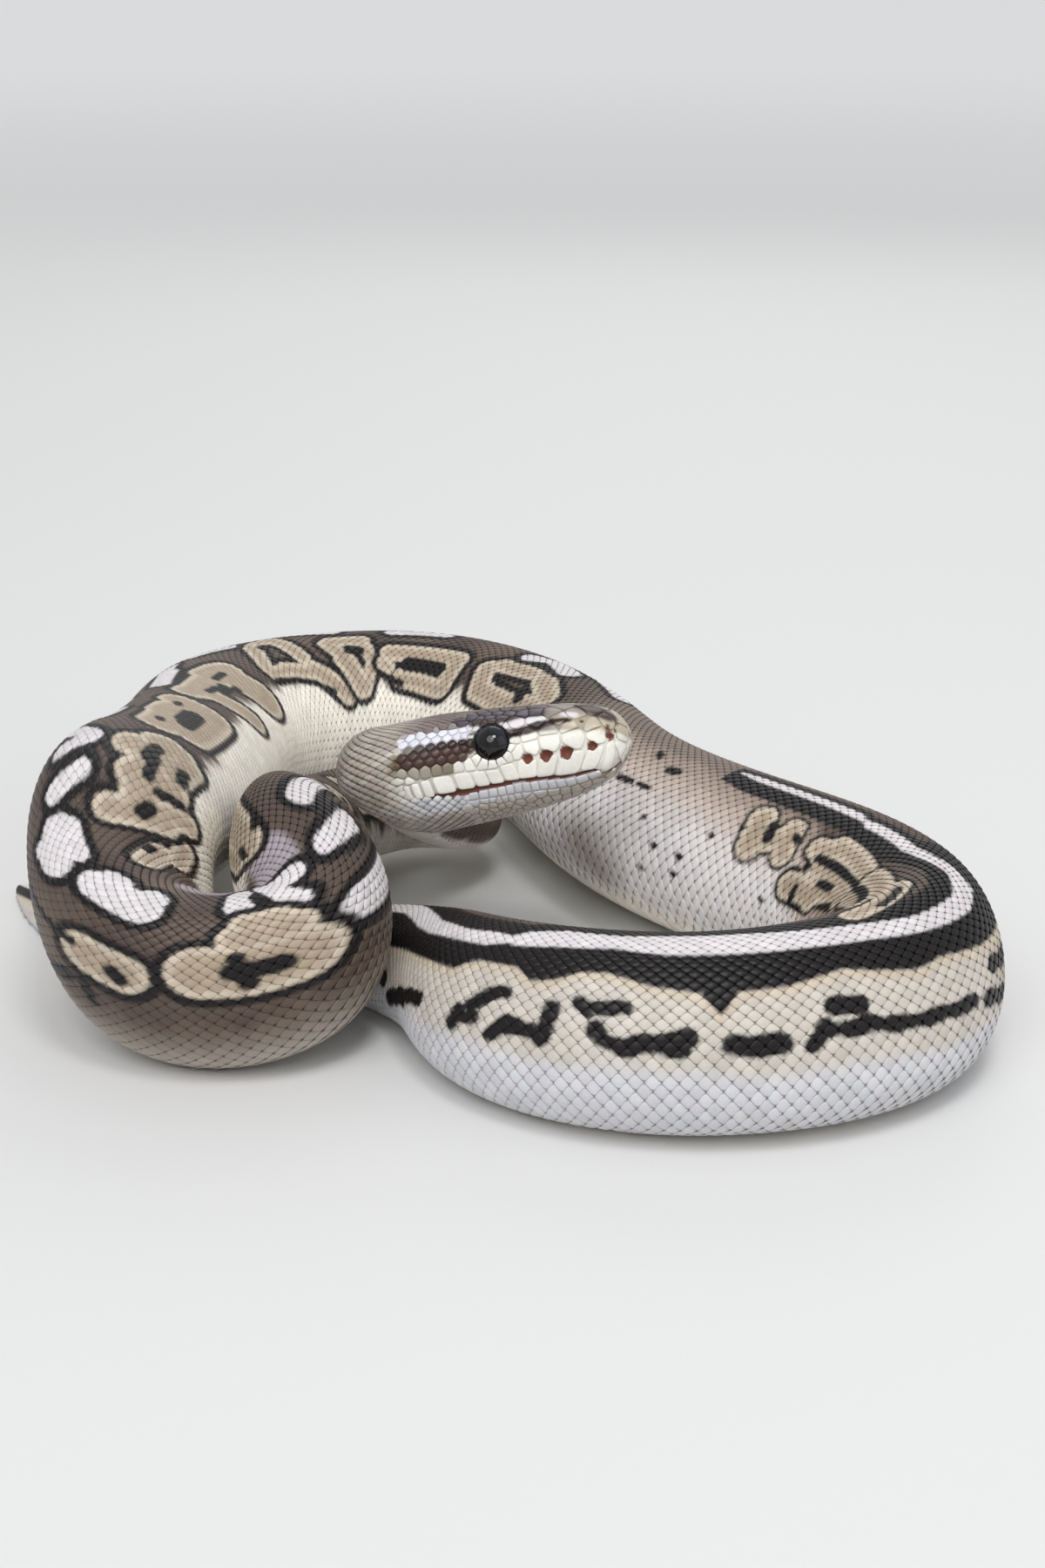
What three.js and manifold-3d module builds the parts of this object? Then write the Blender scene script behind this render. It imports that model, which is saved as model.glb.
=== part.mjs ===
// Young royal python lying in one loose coil, life size, +Z up, millimetres.
//
// The whole snake is one swept body: a smooth spine course from the snout to the tip of
// the tail, and a cross-section that changes along it. The body is cut into the lengths a
// person would name, with a thin gap at each cut. The head is divided at the mouth line
// into the head and the lower jaw, and the two eyes sit in sockets cut into the head.
// The coil rests on the floor, z = 0, on narrow flats along the underside of the belly.
// The object's front is -Y, and its origin is at the middle of the foot of its box.
import * as THREE from "three";
import Module from "manifold-3d";
import { mergeVertices } from "three/addons/utils/BufferGeometryUtils.js";

const wasm = await Module();
wasm.setup();

// --- Driving dimensions, in millimetres and degrees ------------------------------------

const CUT = 0.3; // gap between neighbouring lengths
const HEAD_END = 27.5; // arc length from the snout to the back of the jaws
const HEAD_FADE = { from: 28, to: 40 }; // where the head's section turns into the trunk's
const SNOUT_ROUND = 2.6; // length over which the snout is rounded off
const SNOUT_HEIGHT = 1.4; // height of the snout's tip above the spine course
const MOUTH_DROP = 0.45; // mouth line below the spine course at the snout
const MOUTH_SLOPE = 0.105; // and how much further it drops for each millimetre back
const JAW_START = 1.3; // the lower jaw's tip lies a little behind the snout's
const EYE = { at: 15.4, up: 3.3, side: 4.9, radius: 2.8, gap: 0.25 };
const TRUNK_SIDES = 20; // facets round the trunk
const HEAD_SIDES = 28; // facets round the head
const PAD = 0.1; // facet corners stand this far outside the smooth section
const EGG = 0.12; // how much wider the section is below than above
const KEEL = 0.05; // how much the back is raised to a soft ridge along the spine
const BEND_ROOM = 0.88; // share of a bend's radius that the inner flank may fill
const FOLD = { at: 172, reach: 58, narrower: 0.14, taller: 0.03 }; // pressed flanks
const SEAT = { x: 6.62, y: -285.51 }; // moves the box's middle to the origin

// Spine course from snout to tail tip: x, y, z, and lean of the back out of the upright.
const COURSE = {
  head: [
    [13.2, 264.5, 31.2, -12], [6.4, 265.9, 30, -12], [-0.3, 267.4, 28.9, -12],
    [-7, 268.8, 27.8, -12], [-12.2, 270, 26.9, -10],
  ],
  neck: [
    [-16.4, 271.8, 26.2, -6], [-17.8, 276.2, 24.8, 0], [-16.9, 282, 21.5, 0],
    [-13.6, 289, 15.8, 0], [-9, 296.5, 11.5, 0], [-8, 304, 9, 0], [-15, 307.5, 8.6, 0],
    [-22, 303.5, 9, 0],
  ],
  raisedFore: [
    [-27.4, 293.5, 10.4, -8], [-28.1, 282, 13.7, -20], [-29.4, 270.5, 18.2, -22],
    [-26.8, 259.5, 20.5, -8],
  ],
  frontFold: [
    [-23.1, 252, 17.5, 10], [-24.4, 244.9, 12.8, 28], [-35.7, 243.2, 10.3, 37],
    [-45.6, 247.8, 12.4, 36], [-48.7, 256.6, 16.5, 36],
  ],
  leftSide: [
    [-49.2, 265.5, 22.2, 34], [-47.2, 280, 18.3, 28], [-46, 296, 15.7, 26],
    [-46.6, 312, 13.5, 26],
  ],
  rearArc: [
    [-45.4, 327, 12.3, 26], [-35.5, 337.5, 11.6, 26], [-20, 341.5, 11.6, 26],
    [-6.8, 336.2, 11.6, 26], [3, 325.2, 11.5, 26],
  ],
  rightSide: [
    [9, 311, 11.5, 27], [13, 298.2, 11.5, 28], [20, 286.4, 11.5, 28],
    [30.2, 275.1, 11.5, 25], [40.8, 264.8, 11.5, 24], [46.8, 251.5, 11.4, 22],
    [42.8, 239.2, 11.2, 12],
  ],
  front: [
    [31.6, 232, 11, 4], [18, 230.1, 10.6, 4], [5, 234.1, 9.9, 4], [-3.8, 242.2, 8.8, 4],
  ],
  tail: [
    [-7.3, 252.2, 7.2, 2], [-14.6, 261.3, 5.5, 0], [-26, 267.5, 4.4, 0],
    [-38, 268.5, 3.7, 0], [-50, 270.4, 2.9, 0], [-60.5, 279.5, 2.3, 0],
    [-68.3, 294.5, 0.7, 0],
  ],
};

// Section at arc lengths from the snout: half width, rise above the course, drop below it,
// and squareness (2 is a plain oval).
const HEAD_SECTIONS = [
  [0, 4.3, 4.2, 1.6, 2.5], [3, 5, 5.4, 3.4, 2.5], [6, 5.7, 6.1, 4.7, 2.5],
  [10, 6.3, 6.4, 5.8, 2.5], [14, 6.8, 6.5, 6.6, 2.5], [17.5, 7.3, 6.5, 7.2, 2.5],
  [21, 8.3, 6.5, 7.7, 2.45], [25, 9.3, 6.3, 8.1, 2.4], [28, 9.2, 5.9, 7.5, 2.3],
  [31, 7.5, 5.4, 6, 2.2], [34, 6.1, 5.2, 5.1, 2.1], [38, 5.6, 5.3, 5.2, 2],
];
const TRUNK_SECTIONS = [
  [60, 5.8, 5.8, 5.8, 2], [85, 6.8, 6.7, 6.7, 2], [108, 7.3, 7.5, 7.6, 2],
  [133, 10, 9.4, 9.2, 2], [161, 11.4, 11.5, 11.5, 2], [189, 11.9, 12.1, 12.1, 2],
  [257, 12, 12, 12, 2], [324, 11.9, 11.9, 11.9, 2], [377, 11.6, 11.6, 11.6, 2],
  [419, 11.2, 11.2, 11.2, 2], [450, 10.4, 10.2, 10.2, 2], [471, 7.4, 7.5, 7.5, 2],
  [487, 5.6, 5.6, 5.6, 2], [503, 4.4, 4.4, 4.4, 2], [524, 3.1, 3.1, 3.1, 2],
  [535, 2.2, 2.2, 2.2, 2], [544, 0.8, 0.8, 0.8, 2],
];

// The named lengths behind the head: name, where it ends, and the spacing of its rings.
const LENGTHS = [
  ["neck_upper", 60, 2.4], ["neck_lower", 102, 2.8], ["trunk_fore_raised", 132, 3.6],
  ["trunk_front_fold", 174, 2.8], ["trunk_left_side", 218, 4], ["trunk_left_rear", 254, 4],
  ["trunk_rear", 298, 4.2], ["trunk_right_rear", 326, 4.2], ["trunk_right_side", 365, 4.2],
  ["trunk_right_turn", 403, 3.4], ["trunk_front", 440, 4.2], ["trunk_hind", 478, 4],
  ["tail_base", 502, 4], ["tail_tip", Infinity, 3.2],
];

const COLOURS = {
  head: 0x8a7a74,
  jaw: 0xe2ded6,
  eye: 0x0c0c10,
  neck: 0x77695f,
  trunk: 0x86786c,
  tail: 0xb9b0a6,
};

// --- Spine course ----------------------------------------------------------------------

// Points on a uniform cubic B-spline through the whole course, ends clamped.
function splinePoints(knots, count) {
  const first = knots[0];
  const last = knots[knots.length - 1];
  const all = [first, first, ...knots, last, last];
  const spans = all.length - 3;
  const points = [];
  for (let i = 0; i < count; i += 1) {
    const t = (i / (count - 1)) * (spans - 1e-9);
    const k = Math.floor(t);
    const u = t - k;
    const weights = [
      (1 - u) ** 3,
      3 * u ** 3 - 6 * u ** 2 + 4,
      -3 * u ** 3 + 3 * u ** 2 + 3 * u + 1,
      u ** 3,
    ];
    const sum = [0, 0, 0, 0];
    weights.forEach((weight, j) => {
      all[k + j].forEach((value, axis) => {
        sum[axis] += (value * weight) / 6;
      });
    });
    points.push(sum);
  }
  return points;
}

const samples = splinePoints(Object.values(COURSE).flat(), 2400);
const places = samples.map((p) => new THREE.Vector3(p[0] + SEAT.x, p[1] + SEAT.y, p[2]));
const arc = [0];
for (let i = 1; i < places.length; i += 1) {
  arc.push(arc[i - 1] + places[i].distanceTo(places[i - 1]));
}
const TOTAL = arc[arc.length - 1];

// Slope of a list of vectors at index i, per millimetre of arc.
function slope(list, i) {
  const a = Math.max(0, i - 1);
  const b = Math.min(list.length - 1, i + 1);
  return list[b].clone().sub(list[a]).divideScalar(arc[b] - arc[a]);
}
const tangents = places.map((_, i) => slope(places, i).normalize());
const bends = tangents.map((_, i) => slope(tangents, i));

// Where the spine is at arc length s, with the directions of the tail end (along), the
// back (back) and the flank (flank), and the bend's pull towards its centre.
function spineAt(s) {
  const i = Math.min(arc.length - 2, Math.max(0, arc.findIndex((value) => value > s) - 1));
  const k = s >= TOTAL ? arc.length - 2 : i;
  const t = THREE.MathUtils.clamp((s - arc[k]) / (arc[k + 1] - arc[k]), 0, 1);
  const place = places[k].clone().lerp(places[k + 1], t);
  const along = tangents[k].clone().lerp(tangents[k + 1], t).normalize();
  const bend = bends[k].clone().lerp(bends[k + 1], t);
  const lean = -THREE.MathUtils.lerp(samples[k][3], samples[k + 1][3], t);
  const up = new THREE.Vector3(0, 0, 1).addScaledVector(along, -along.z).normalize();
  const side = along.clone().cross(up);
  const angle = THREE.MathUtils.degToRad(lean);
  const back = up.clone().multiplyScalar(Math.cos(angle));
  back.addScaledVector(side, Math.sin(angle));
  const flank = side.multiplyScalar(Math.cos(angle)).addScaledVector(up, -Math.sin(angle));
  return { place, along, back, flank, bend };
}

// --- Cross-section ---------------------------------------------------------------------

const sections = [...HEAD_SECTIONS, ...TRUNK_SECTIONS];

// One column of the section table at arc length s, as a smooth cubic through its rows.
function column(index, s) {
  const last = sections.length - 1;
  const slopeOf = (i) => {
    const a = Math.max(0, i - 1);
    const b = Math.min(last, i + 1);
    if (a === i || b === i) {
      return (sections[b][index] - sections[a][index]) / (sections[b][0] - sections[a][0]);
    }
    const before = sections[i][0] - sections[a][0];
    const after = sections[b][0] - sections[i][0];
    const rise = (sections[i][index] - sections[a][index]) / before;
    const next = (sections[b][index] - sections[i][index]) / after;
    return (rise * after + next * before) / (before + after);
  };
  let i = 0;
  while (i < last - 1 && sections[i + 1][0] <= s) {
    i += 1;
  }
  const h = sections[i + 1][0] - sections[i][0];
  const t = (s - sections[i][0]) / h;
  return (
    (2 * t ** 3 - 3 * t ** 2 + 1) * sections[i][index] +
    (t ** 3 - 2 * t ** 2 + t) * h * slopeOf(i) +
    (-2 * t ** 3 + 3 * t ** 2) * sections[i + 1][index] +
    (t ** 3 - t ** 2) * h * slopeOf(i + 1)
  );
}

// The section's sizes at arc length s, with the flanks pressed flat in the fold.
function sizesAt(s) {
  const pressed = Math.exp(-(((s - FOLD.at) / FOLD.reach) ** 4));
  return {
    wide: (column(1, s) + PAD) * (1 - FOLD.narrower * pressed),
    high: (column(2, s) + PAD) * (1 + FOLD.taller * pressed),
    low: (column(3, s) + PAD) * (1 + FOLD.taller * pressed),
    square: column(4, s),
    headness: 1 - THREE.MathUtils.smoothstep(s, HEAD_FADE.from, HEAD_FADE.to),
    round: Math.sqrt(1 - (1 - Math.min(s, SNOUT_ROUND) / SNOUT_ROUND) ** 2),
  };
}

const power = (value, exponent) => Math.sign(value) * Math.abs(value) ** exponent;

// A section point: distance out along the flank and up along the back, at the angle that
// runs from 0 on the spine to a half turn on the belly.
function sectionPoint(size, angle) {
  const egg = EGG * (1 - size.headness);
  const keel = KEEL * (1 - size.headness) * (Math.cos(2 * angle) - 1);
  const c = power(Math.cos(angle), 2 / size.square);
  const out = size.wide * power(Math.sin(angle), 2 / size.square);
  const up = (c > 0 ? size.high : size.low) * c + size.high * keel;
  return [
    out * (1 - egg * Math.cos(angle)) * size.round,
    SNOUT_HEIGHT + (up - SNOUT_HEIGHT) * size.round,
  ];
}

// The same point in space, kept off the centre of the bend and above the floor.
function skinPoint(spine, out, up) {
  const pull = out * spine.bend.dot(spine.flank) + up * spine.bend.dot(spine.back);
  const room = (1 + (Math.max(0, pull) / BEND_ROOM) ** 8) ** (-1 / 8);
  const point = spine.place.clone().addScaledVector(spine.flank, out * room);
  point.addScaledVector(spine.back, up);
  point.z = Math.max(0, point.z);
  return point;
}

// --- Closed bodies from rings ----------------------------------------------------------

// A closed body through rings of equal point counts, ordered head to tail, with a fan on
// each end.
function bodyFromRings(rings) {
  const count = rings[0].length;
  const positions = rings.flat().flatMap((p) => [p.x, p.y, p.z]);
  const index = [];
  const middleOf = (ring) => {
    const middle = new THREE.Vector3();
    ring.forEach((p) => middle.addScaledVector(p, 1 / count));
    return middle;
  };
  for (let i = 0; i < rings.length - 1; i += 1) {
    for (let j = 0; j < count; j += 1) {
      const next = (j + 1) % count;
      const a = i * count + j;
      const b = i * count + next;
      index.push(a, b, b + count, a, b + count, a + count);
    }
  }
  const front = positions.length / 3;
  positions.push(...middleOf(rings[0]).toArray());
  positions.push(...middleOf(rings[rings.length - 1]).toArray());
  const lastRing = (rings.length - 1) * count;
  for (let j = 0; j < count; j += 1) {
    const next = (j + 1) % count;
    index.push(front, next, j);
    index.push(front + 1, lastRing + j, lastRing + next);
  }
  const geometry = new THREE.BufferGeometry();
  geometry.setAttribute("position", new THREE.Float32BufferAttribute(positions, 3));
  geometry.setIndex(index);
  geometry.computeVertexNormals();
  return geometry;
}

// Evenly spaced arc lengths from a to b, about the given spacing apart.
function stations(a, b, spacing) {
  const count = Math.max(2, Math.round((b - a) / spacing) + 1);
  return Array.from({ length: count }, (_, i) => a + ((b - a) * i) / (count - 1));
}

function trunkRing(s) {
  const spine = spineAt(s);
  const size = sizesAt(s);
  return Array.from({ length: TRUNK_SIDES }, (_, j) => {
    const [out, up] = sectionPoint(size, ((j + 0.5) / TRUNK_SIDES) * 2 * Math.PI);
    return skinPoint(spine, out, up);
  });
}

// The face behind a cut: the ring at the cut moved back by the cut's width, still parallel
// to the face in front of it.
function ringBehindCut(s) {
  const { along } = spineAt(s);
  return trunkRing(s).map((point) => {
    const moved = point.addScaledVector(along, CUT);
    moved.z = Math.max(0, moved.z);
    return moved;
  });
}

const mouthAt = (s) => -(MOUTH_DROP + MOUTH_SLOPE * s);

// The angle at which the section has fallen to the given height.
function angleAtHeight(size, height) {
  let low = 0;
  let high = Math.PI;
  for (let i = 0; i < 40; i += 1) {
    const middle = (low + high) / 2;
    if (sectionPoint(size, middle)[1] > height) {
      low = middle;
    } else {
      high = middle;
    }
  }
  return low;
}

// Half of a head ring: over the top of the mouth line, or round below it.
function headRing(s, above) {
  const spine = spineAt(s);
  const size = sizesAt(s);
  const shift = above ? CUT / 2 : -CUT / 2;
  const limit = Math.min(angleAtHeight(size, mouthAt(s) + shift), 0.985 * Math.PI);
  const from = above ? -limit : limit;
  const to = above ? limit : 2 * Math.PI - limit;
  const count = above ? Math.round(HEAD_SIDES * 0.6) : Math.round(HEAD_SIDES * 0.5);
  return Array.from({ length: count }, (_, j) => {
    const [out, up] = sectionPoint(size, from + ((to - from) * j) / (count - 1));
    return skinPoint(spine, out, up);
  });
}

// --- Eyes and sockets ------------------------------------------------------------------

// sign is +1 for the animal's left side: the flank direction points to its left.
function eyeCentre(sign) {
  const spine = spineAt(EYE.at);
  const centre = spine.place.clone().addScaledVector(spine.back, EYE.up);
  return centre.addScaledVector(spine.flank, sign * EYE.side);
}

function solidOf(geometry) {
  const bare = geometry.clone();
  bare.deleteAttribute("normal");
  bare.deleteAttribute("uv");
  const merged = mergeVertices(bare, 1e-5);
  return new wasm.Manifold(new wasm.Mesh({
    numProp: 3,
    vertProperties: new Float32Array(merged.attributes.position.array),
    triVerts: new Uint32Array(merged.index.array),
  }));
}

function geometryOf(solid) {
  const mesh = solid.getMesh();
  const geometry = new THREE.BufferGeometry();
  const position = new THREE.Float32BufferAttribute(mesh.vertProperties, 3);
  geometry.setAttribute("position", position);
  geometry.setIndex(new THREE.Uint32BufferAttribute(mesh.triVerts, 1));
  geometry.computeVertexNormals();
  return geometry;
}

function socketGeometry(sign) {
  const socket = new THREE.SphereGeometry(EYE.radius + EYE.gap, 16, 10);
  const centre = eyeCentre(sign);
  socket.translate(centre.x, centre.y, centre.z);
  return socket;
}

// --- The animal ------------------------------------------------------------------------

const snake = new THREE.Group();

function addPiece(name, geometry, colour, roughness) {
  const material = new THREE.MeshStandardMaterial({ color: colour, roughness, metalness: 0 });
  const mesh = new THREE.Mesh(geometry, material);
  mesh.name = name;
  snake.add(mesh);
  return mesh;
}

const snoutRings = [0.3, 0.7, 1.3, 2, 3, 4.2].map((s) => headRing(s, true));
const headRings = stations(5.5, HEAD_END, 1.5).map((s) => headRing(s, true));
let headSolid = solidOf(bodyFromRings([...snoutRings, ...headRings]));
[1, -1].forEach((sign) => {
  headSolid = headSolid.subtract(solidOf(socketGeometry(sign)));
});
addPiece("head", geometryOf(headSolid), COLOURS.head, 0.5);

const jawRings = stations(JAW_START, HEAD_END, 1.6).map((s) => headRing(s, false));
addPiece("lower_jaw", bodyFromRings(jawRings), COLOURS.jaw, 0.5);

[["eye_left", 1], ["eye_right", -1]].forEach(([name, sign]) => {
  const eye = addPiece(name, new THREE.SphereGeometry(EYE.radius, 16, 10), COLOURS.eye, 0.08);
  eye.position.copy(eyeCentre(sign));
});

let start = HEAD_END;
LENGTHS.forEach(([name, end, spacing]) => {
  const stop = Math.min(end, TOTAL);
  const rings = stations(start, stop, spacing).map(trunkRing);
  rings[0] = ringBehindCut(start);
  const kind = name.split("_")[0];
  addPiece(name, bodyFromRings(rings), COLOURS[kind], 0.55);
  start = stop;
});

export default snake;
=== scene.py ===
"""A coiled young ball python, life size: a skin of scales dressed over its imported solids."""
from __future__ import annotations

import logging
import math
from dataclasses import dataclass, field
from enum import Enum
from typing import Any, Sequence

import bpy
import numpy as np
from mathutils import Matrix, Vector
from mathutils.bvhtree import BVHTree

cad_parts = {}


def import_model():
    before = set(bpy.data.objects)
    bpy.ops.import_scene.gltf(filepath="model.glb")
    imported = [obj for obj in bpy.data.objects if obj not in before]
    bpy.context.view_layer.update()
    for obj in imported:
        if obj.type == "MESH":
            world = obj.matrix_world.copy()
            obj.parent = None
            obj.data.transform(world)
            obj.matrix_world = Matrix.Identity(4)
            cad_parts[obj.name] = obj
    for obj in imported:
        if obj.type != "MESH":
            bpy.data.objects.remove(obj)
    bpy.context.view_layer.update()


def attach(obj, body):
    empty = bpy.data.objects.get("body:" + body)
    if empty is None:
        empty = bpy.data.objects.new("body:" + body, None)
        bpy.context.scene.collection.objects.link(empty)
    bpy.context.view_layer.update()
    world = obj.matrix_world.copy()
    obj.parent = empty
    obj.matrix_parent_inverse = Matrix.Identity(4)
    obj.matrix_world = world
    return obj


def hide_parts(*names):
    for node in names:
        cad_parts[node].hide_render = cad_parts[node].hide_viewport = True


LOG = logging.getLogger("ball_python")
MM = 0.001  # metres
SEAT = np.array([6.62, -285.51, 0.0])  # mm from the course's own origin to the row's
SKIN_DEPTH = 0.30  # mm from the solids' surface in to the skin
TINY = 1e-9  # keeps a division from meeting zero
PATCH = 0.003  # a scale's width on the bake map
NO_EDGE = 1e3  # mm, farther than any mark
FLESH_NODES = (
    "head", "lower_jaw", "neck_upper", "neck_lower", "trunk_fore_raised", "trunk_front_fold",
    "trunk_left_side", "trunk_left_rear", "trunk_rear", "trunk_right_rear", "trunk_right_side",
    "trunk_right_turn", "trunk_front", "trunk_hind", "tail_base", "tail_tip",
)


def smooth(low: float, high: float, x: np.ndarray) -> np.ndarray:
    """Rises smoothly from 0 at low to 1 at high."""
    t = np.clip((np.asarray(x, float) - low) / (high - low), 0.0, 1.0)
    return t * t * (3.0 - 2.0 * t)


def hermite(knots: np.ndarray, values: np.ndarray, x: np.ndarray) -> np.ndarray:
    """A smooth curve through the values at the knots.

    Args:
        knots: rising positions.
        values: the value at each position.
        x: where the curve is wanted.

    Returns:
        The curve's values at x.
    """
    slope = np.gradient(values, knots)
    i = np.clip(np.searchsorted(knots, x, side="right") - 1, 0, len(knots) - 2)
    h = knots[i + 1] - knots[i]
    t = (x - knots[i]) / h
    a = (2 * t**3 - 3 * t**2 + 1) * values[i] + (t**3 - 2 * t**2 + t) * h * slope[i]
    return a + (-2 * t**3 + 3 * t**2) * values[i + 1] + (t**3 - t**2) * h * slope[i + 1]


def table_at(rows: Sequence[Sequence[float]], s: np.ndarray, column: int = 1) -> np.ndarray:
    """A column of a table whose rows start with a place along the body, at s."""
    table = np.array(rows, float)
    return np.interp(s, table[:, 0], table[:, column])


def grid(first: np.ndarray, second: np.ndarray) -> tuple[np.ndarray, np.ndarray]:
    """Every pair of the two lists' numbers, as two flat arrays."""
    a, b = np.meshgrid(first, second, indexing="ij")
    return a.ravel(), b.ravel()


def tube_faces(rings: int, sides: int) -> np.ndarray:
    """The quads between the rings of a closed tube, as vertex numbers."""
    i, j = grid(np.arange(rings - 1), np.arange(sides))
    k = (j + 1) % sides
    return np.stack([i * sides + j, i * sides + k, (i + 1) * sides + k, (i + 1) * sides + j], 1)


def on_map(share: np.ndarray | float, margin: float = 0.01) -> np.ndarray | float:
    """A share of the whole, 0 to 1, as a place on the bake map inside its margin."""
    return margin + (1 - 2 * margin) * share


# the spine's course in mm: x, y, height, and how many degrees the back leans
COURSE = (
    # head
    (13.2, 264.5, 31.2, -12), (6.4, 265.9, 30, -12), (-0.3, 267.4, 28.9, -12), (-7, 268.8, 27.8, -12),
    (-12.2, 270, 26.9, -10),
    # neck
    (-16.4, 271.8, 26.2, -6), (-17.8, 276.2, 24.8, 0), (-16.9, 282, 21.5, 0), (-13.6, 289, 15.8, 0),
    (-9, 296.5, 11.5, 0), (-8, 304, 9, 0), (-15, 307.5, 8.6, 0), (-22, 303.5, 9, 0),
    # raised fore part
    (-27.4, 293.5, 10.4, -8), (-28.1, 282, 13.7, -20), (-29.4, 270.5, 18.2, -22), (-26.8, 259.5, 20.5, -8),
    # front fold
    (-23.1, 252, 17.5, 10), (-24.4, 244.9, 12.8, 28), (-35.7, 243.2, 10.3, 37), (-45.6, 247.8, 12.4, 36),
    (-48.7, 256.6, 16.5, 36),
    # left side
    (-49.2, 265.5, 22.2, 34), (-47.2, 280, 18.3, 28), (-46, 296, 15.7, 26), (-46.6, 312, 13.5, 26),
    # rear arc
    (-45.4, 327, 12.3, 26), (-35.5, 337.5, 11.6, 26), (-20, 341.5, 11.6, 26), (-6.8, 336.2, 11.6, 26),
    (3, 325.2, 11.5, 26),
    # right side
    (9, 311, 11.5, 27), (13, 298.2, 11.5, 28), (20, 286.4, 11.5, 28), (30.2, 275.1, 11.5, 25),
    (40.8, 264.8, 11.5, 24), (46.8, 251.5, 11.4, 22), (42.8, 239.2, 11.2, 12),
    # front
    (31.6, 232, 11, 4), (18, 230.1, 10.6, 4), (5, 234.1, 9.9, 4), (-3.8, 242.2, 8.8, 4),
    # tail
    (-7.3, 252.2, 7.2, 2), (-14.6, 261.3, 5.5, 0), (-26, 267.5, 4.4, 0), (-38, 268.5, 3.7, 0),
    (-50, 270.4, 2.9, 0), (-60.5, 279.5, 2.3, 0), (-68.3, 294.5, 0.7, 0),
)

# arc length, half width, height above, depth below, squareness
SECTIONS = (
    (0, 4.3, 4.2, 1.6, 2.5), (3, 5, 5.4, 3.4, 2.5), (6, 5.7, 6.1, 4.7, 2.5), (10, 6.3, 6.4, 5.8, 2.5),
    (14, 6.8, 6.5, 6.6, 2.5), (17.5, 7.3, 6.5, 7.2, 2.5), (21, 8.3, 6.5, 7.7, 2.45), (25, 9.3, 6.3, 8.1, 2.4),
    (28, 9.2, 5.9, 7.5, 2.3), (31, 7.5, 5.4, 6, 2.2), (34, 6.1, 5.2, 5.1, 2.1), (38, 5.6, 5.3, 5.2, 2),
    (60, 5.8, 5.8, 5.8, 2), (85, 6.8, 6.7, 6.7, 2), (108, 7.3, 7.5, 7.6, 2), (133, 10, 9.4, 9.2, 2),
    (161, 11.4, 11.5, 11.5, 2), (189, 11.9, 12.1, 12.1, 2), (257, 12, 12, 12, 2), (324, 11.9, 11.9, 11.9, 2),
    (377, 11.6, 11.6, 11.6, 2), (419, 11.2, 11.2, 11.2, 2), (450, 10.4, 10.2, 10.2, 2),
    (471, 7.4, 7.5, 7.5, 2), (487, 5.6, 5.6, 5.6, 2), (503, 4.4, 4.4, 4.4, 2), (524, 3.1, 3.1, 3.1, 2),
    (535, 2.2, 2.2, 2.2, 2), (544, 0.8, 0.8, 0.8, 2),
)


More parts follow.
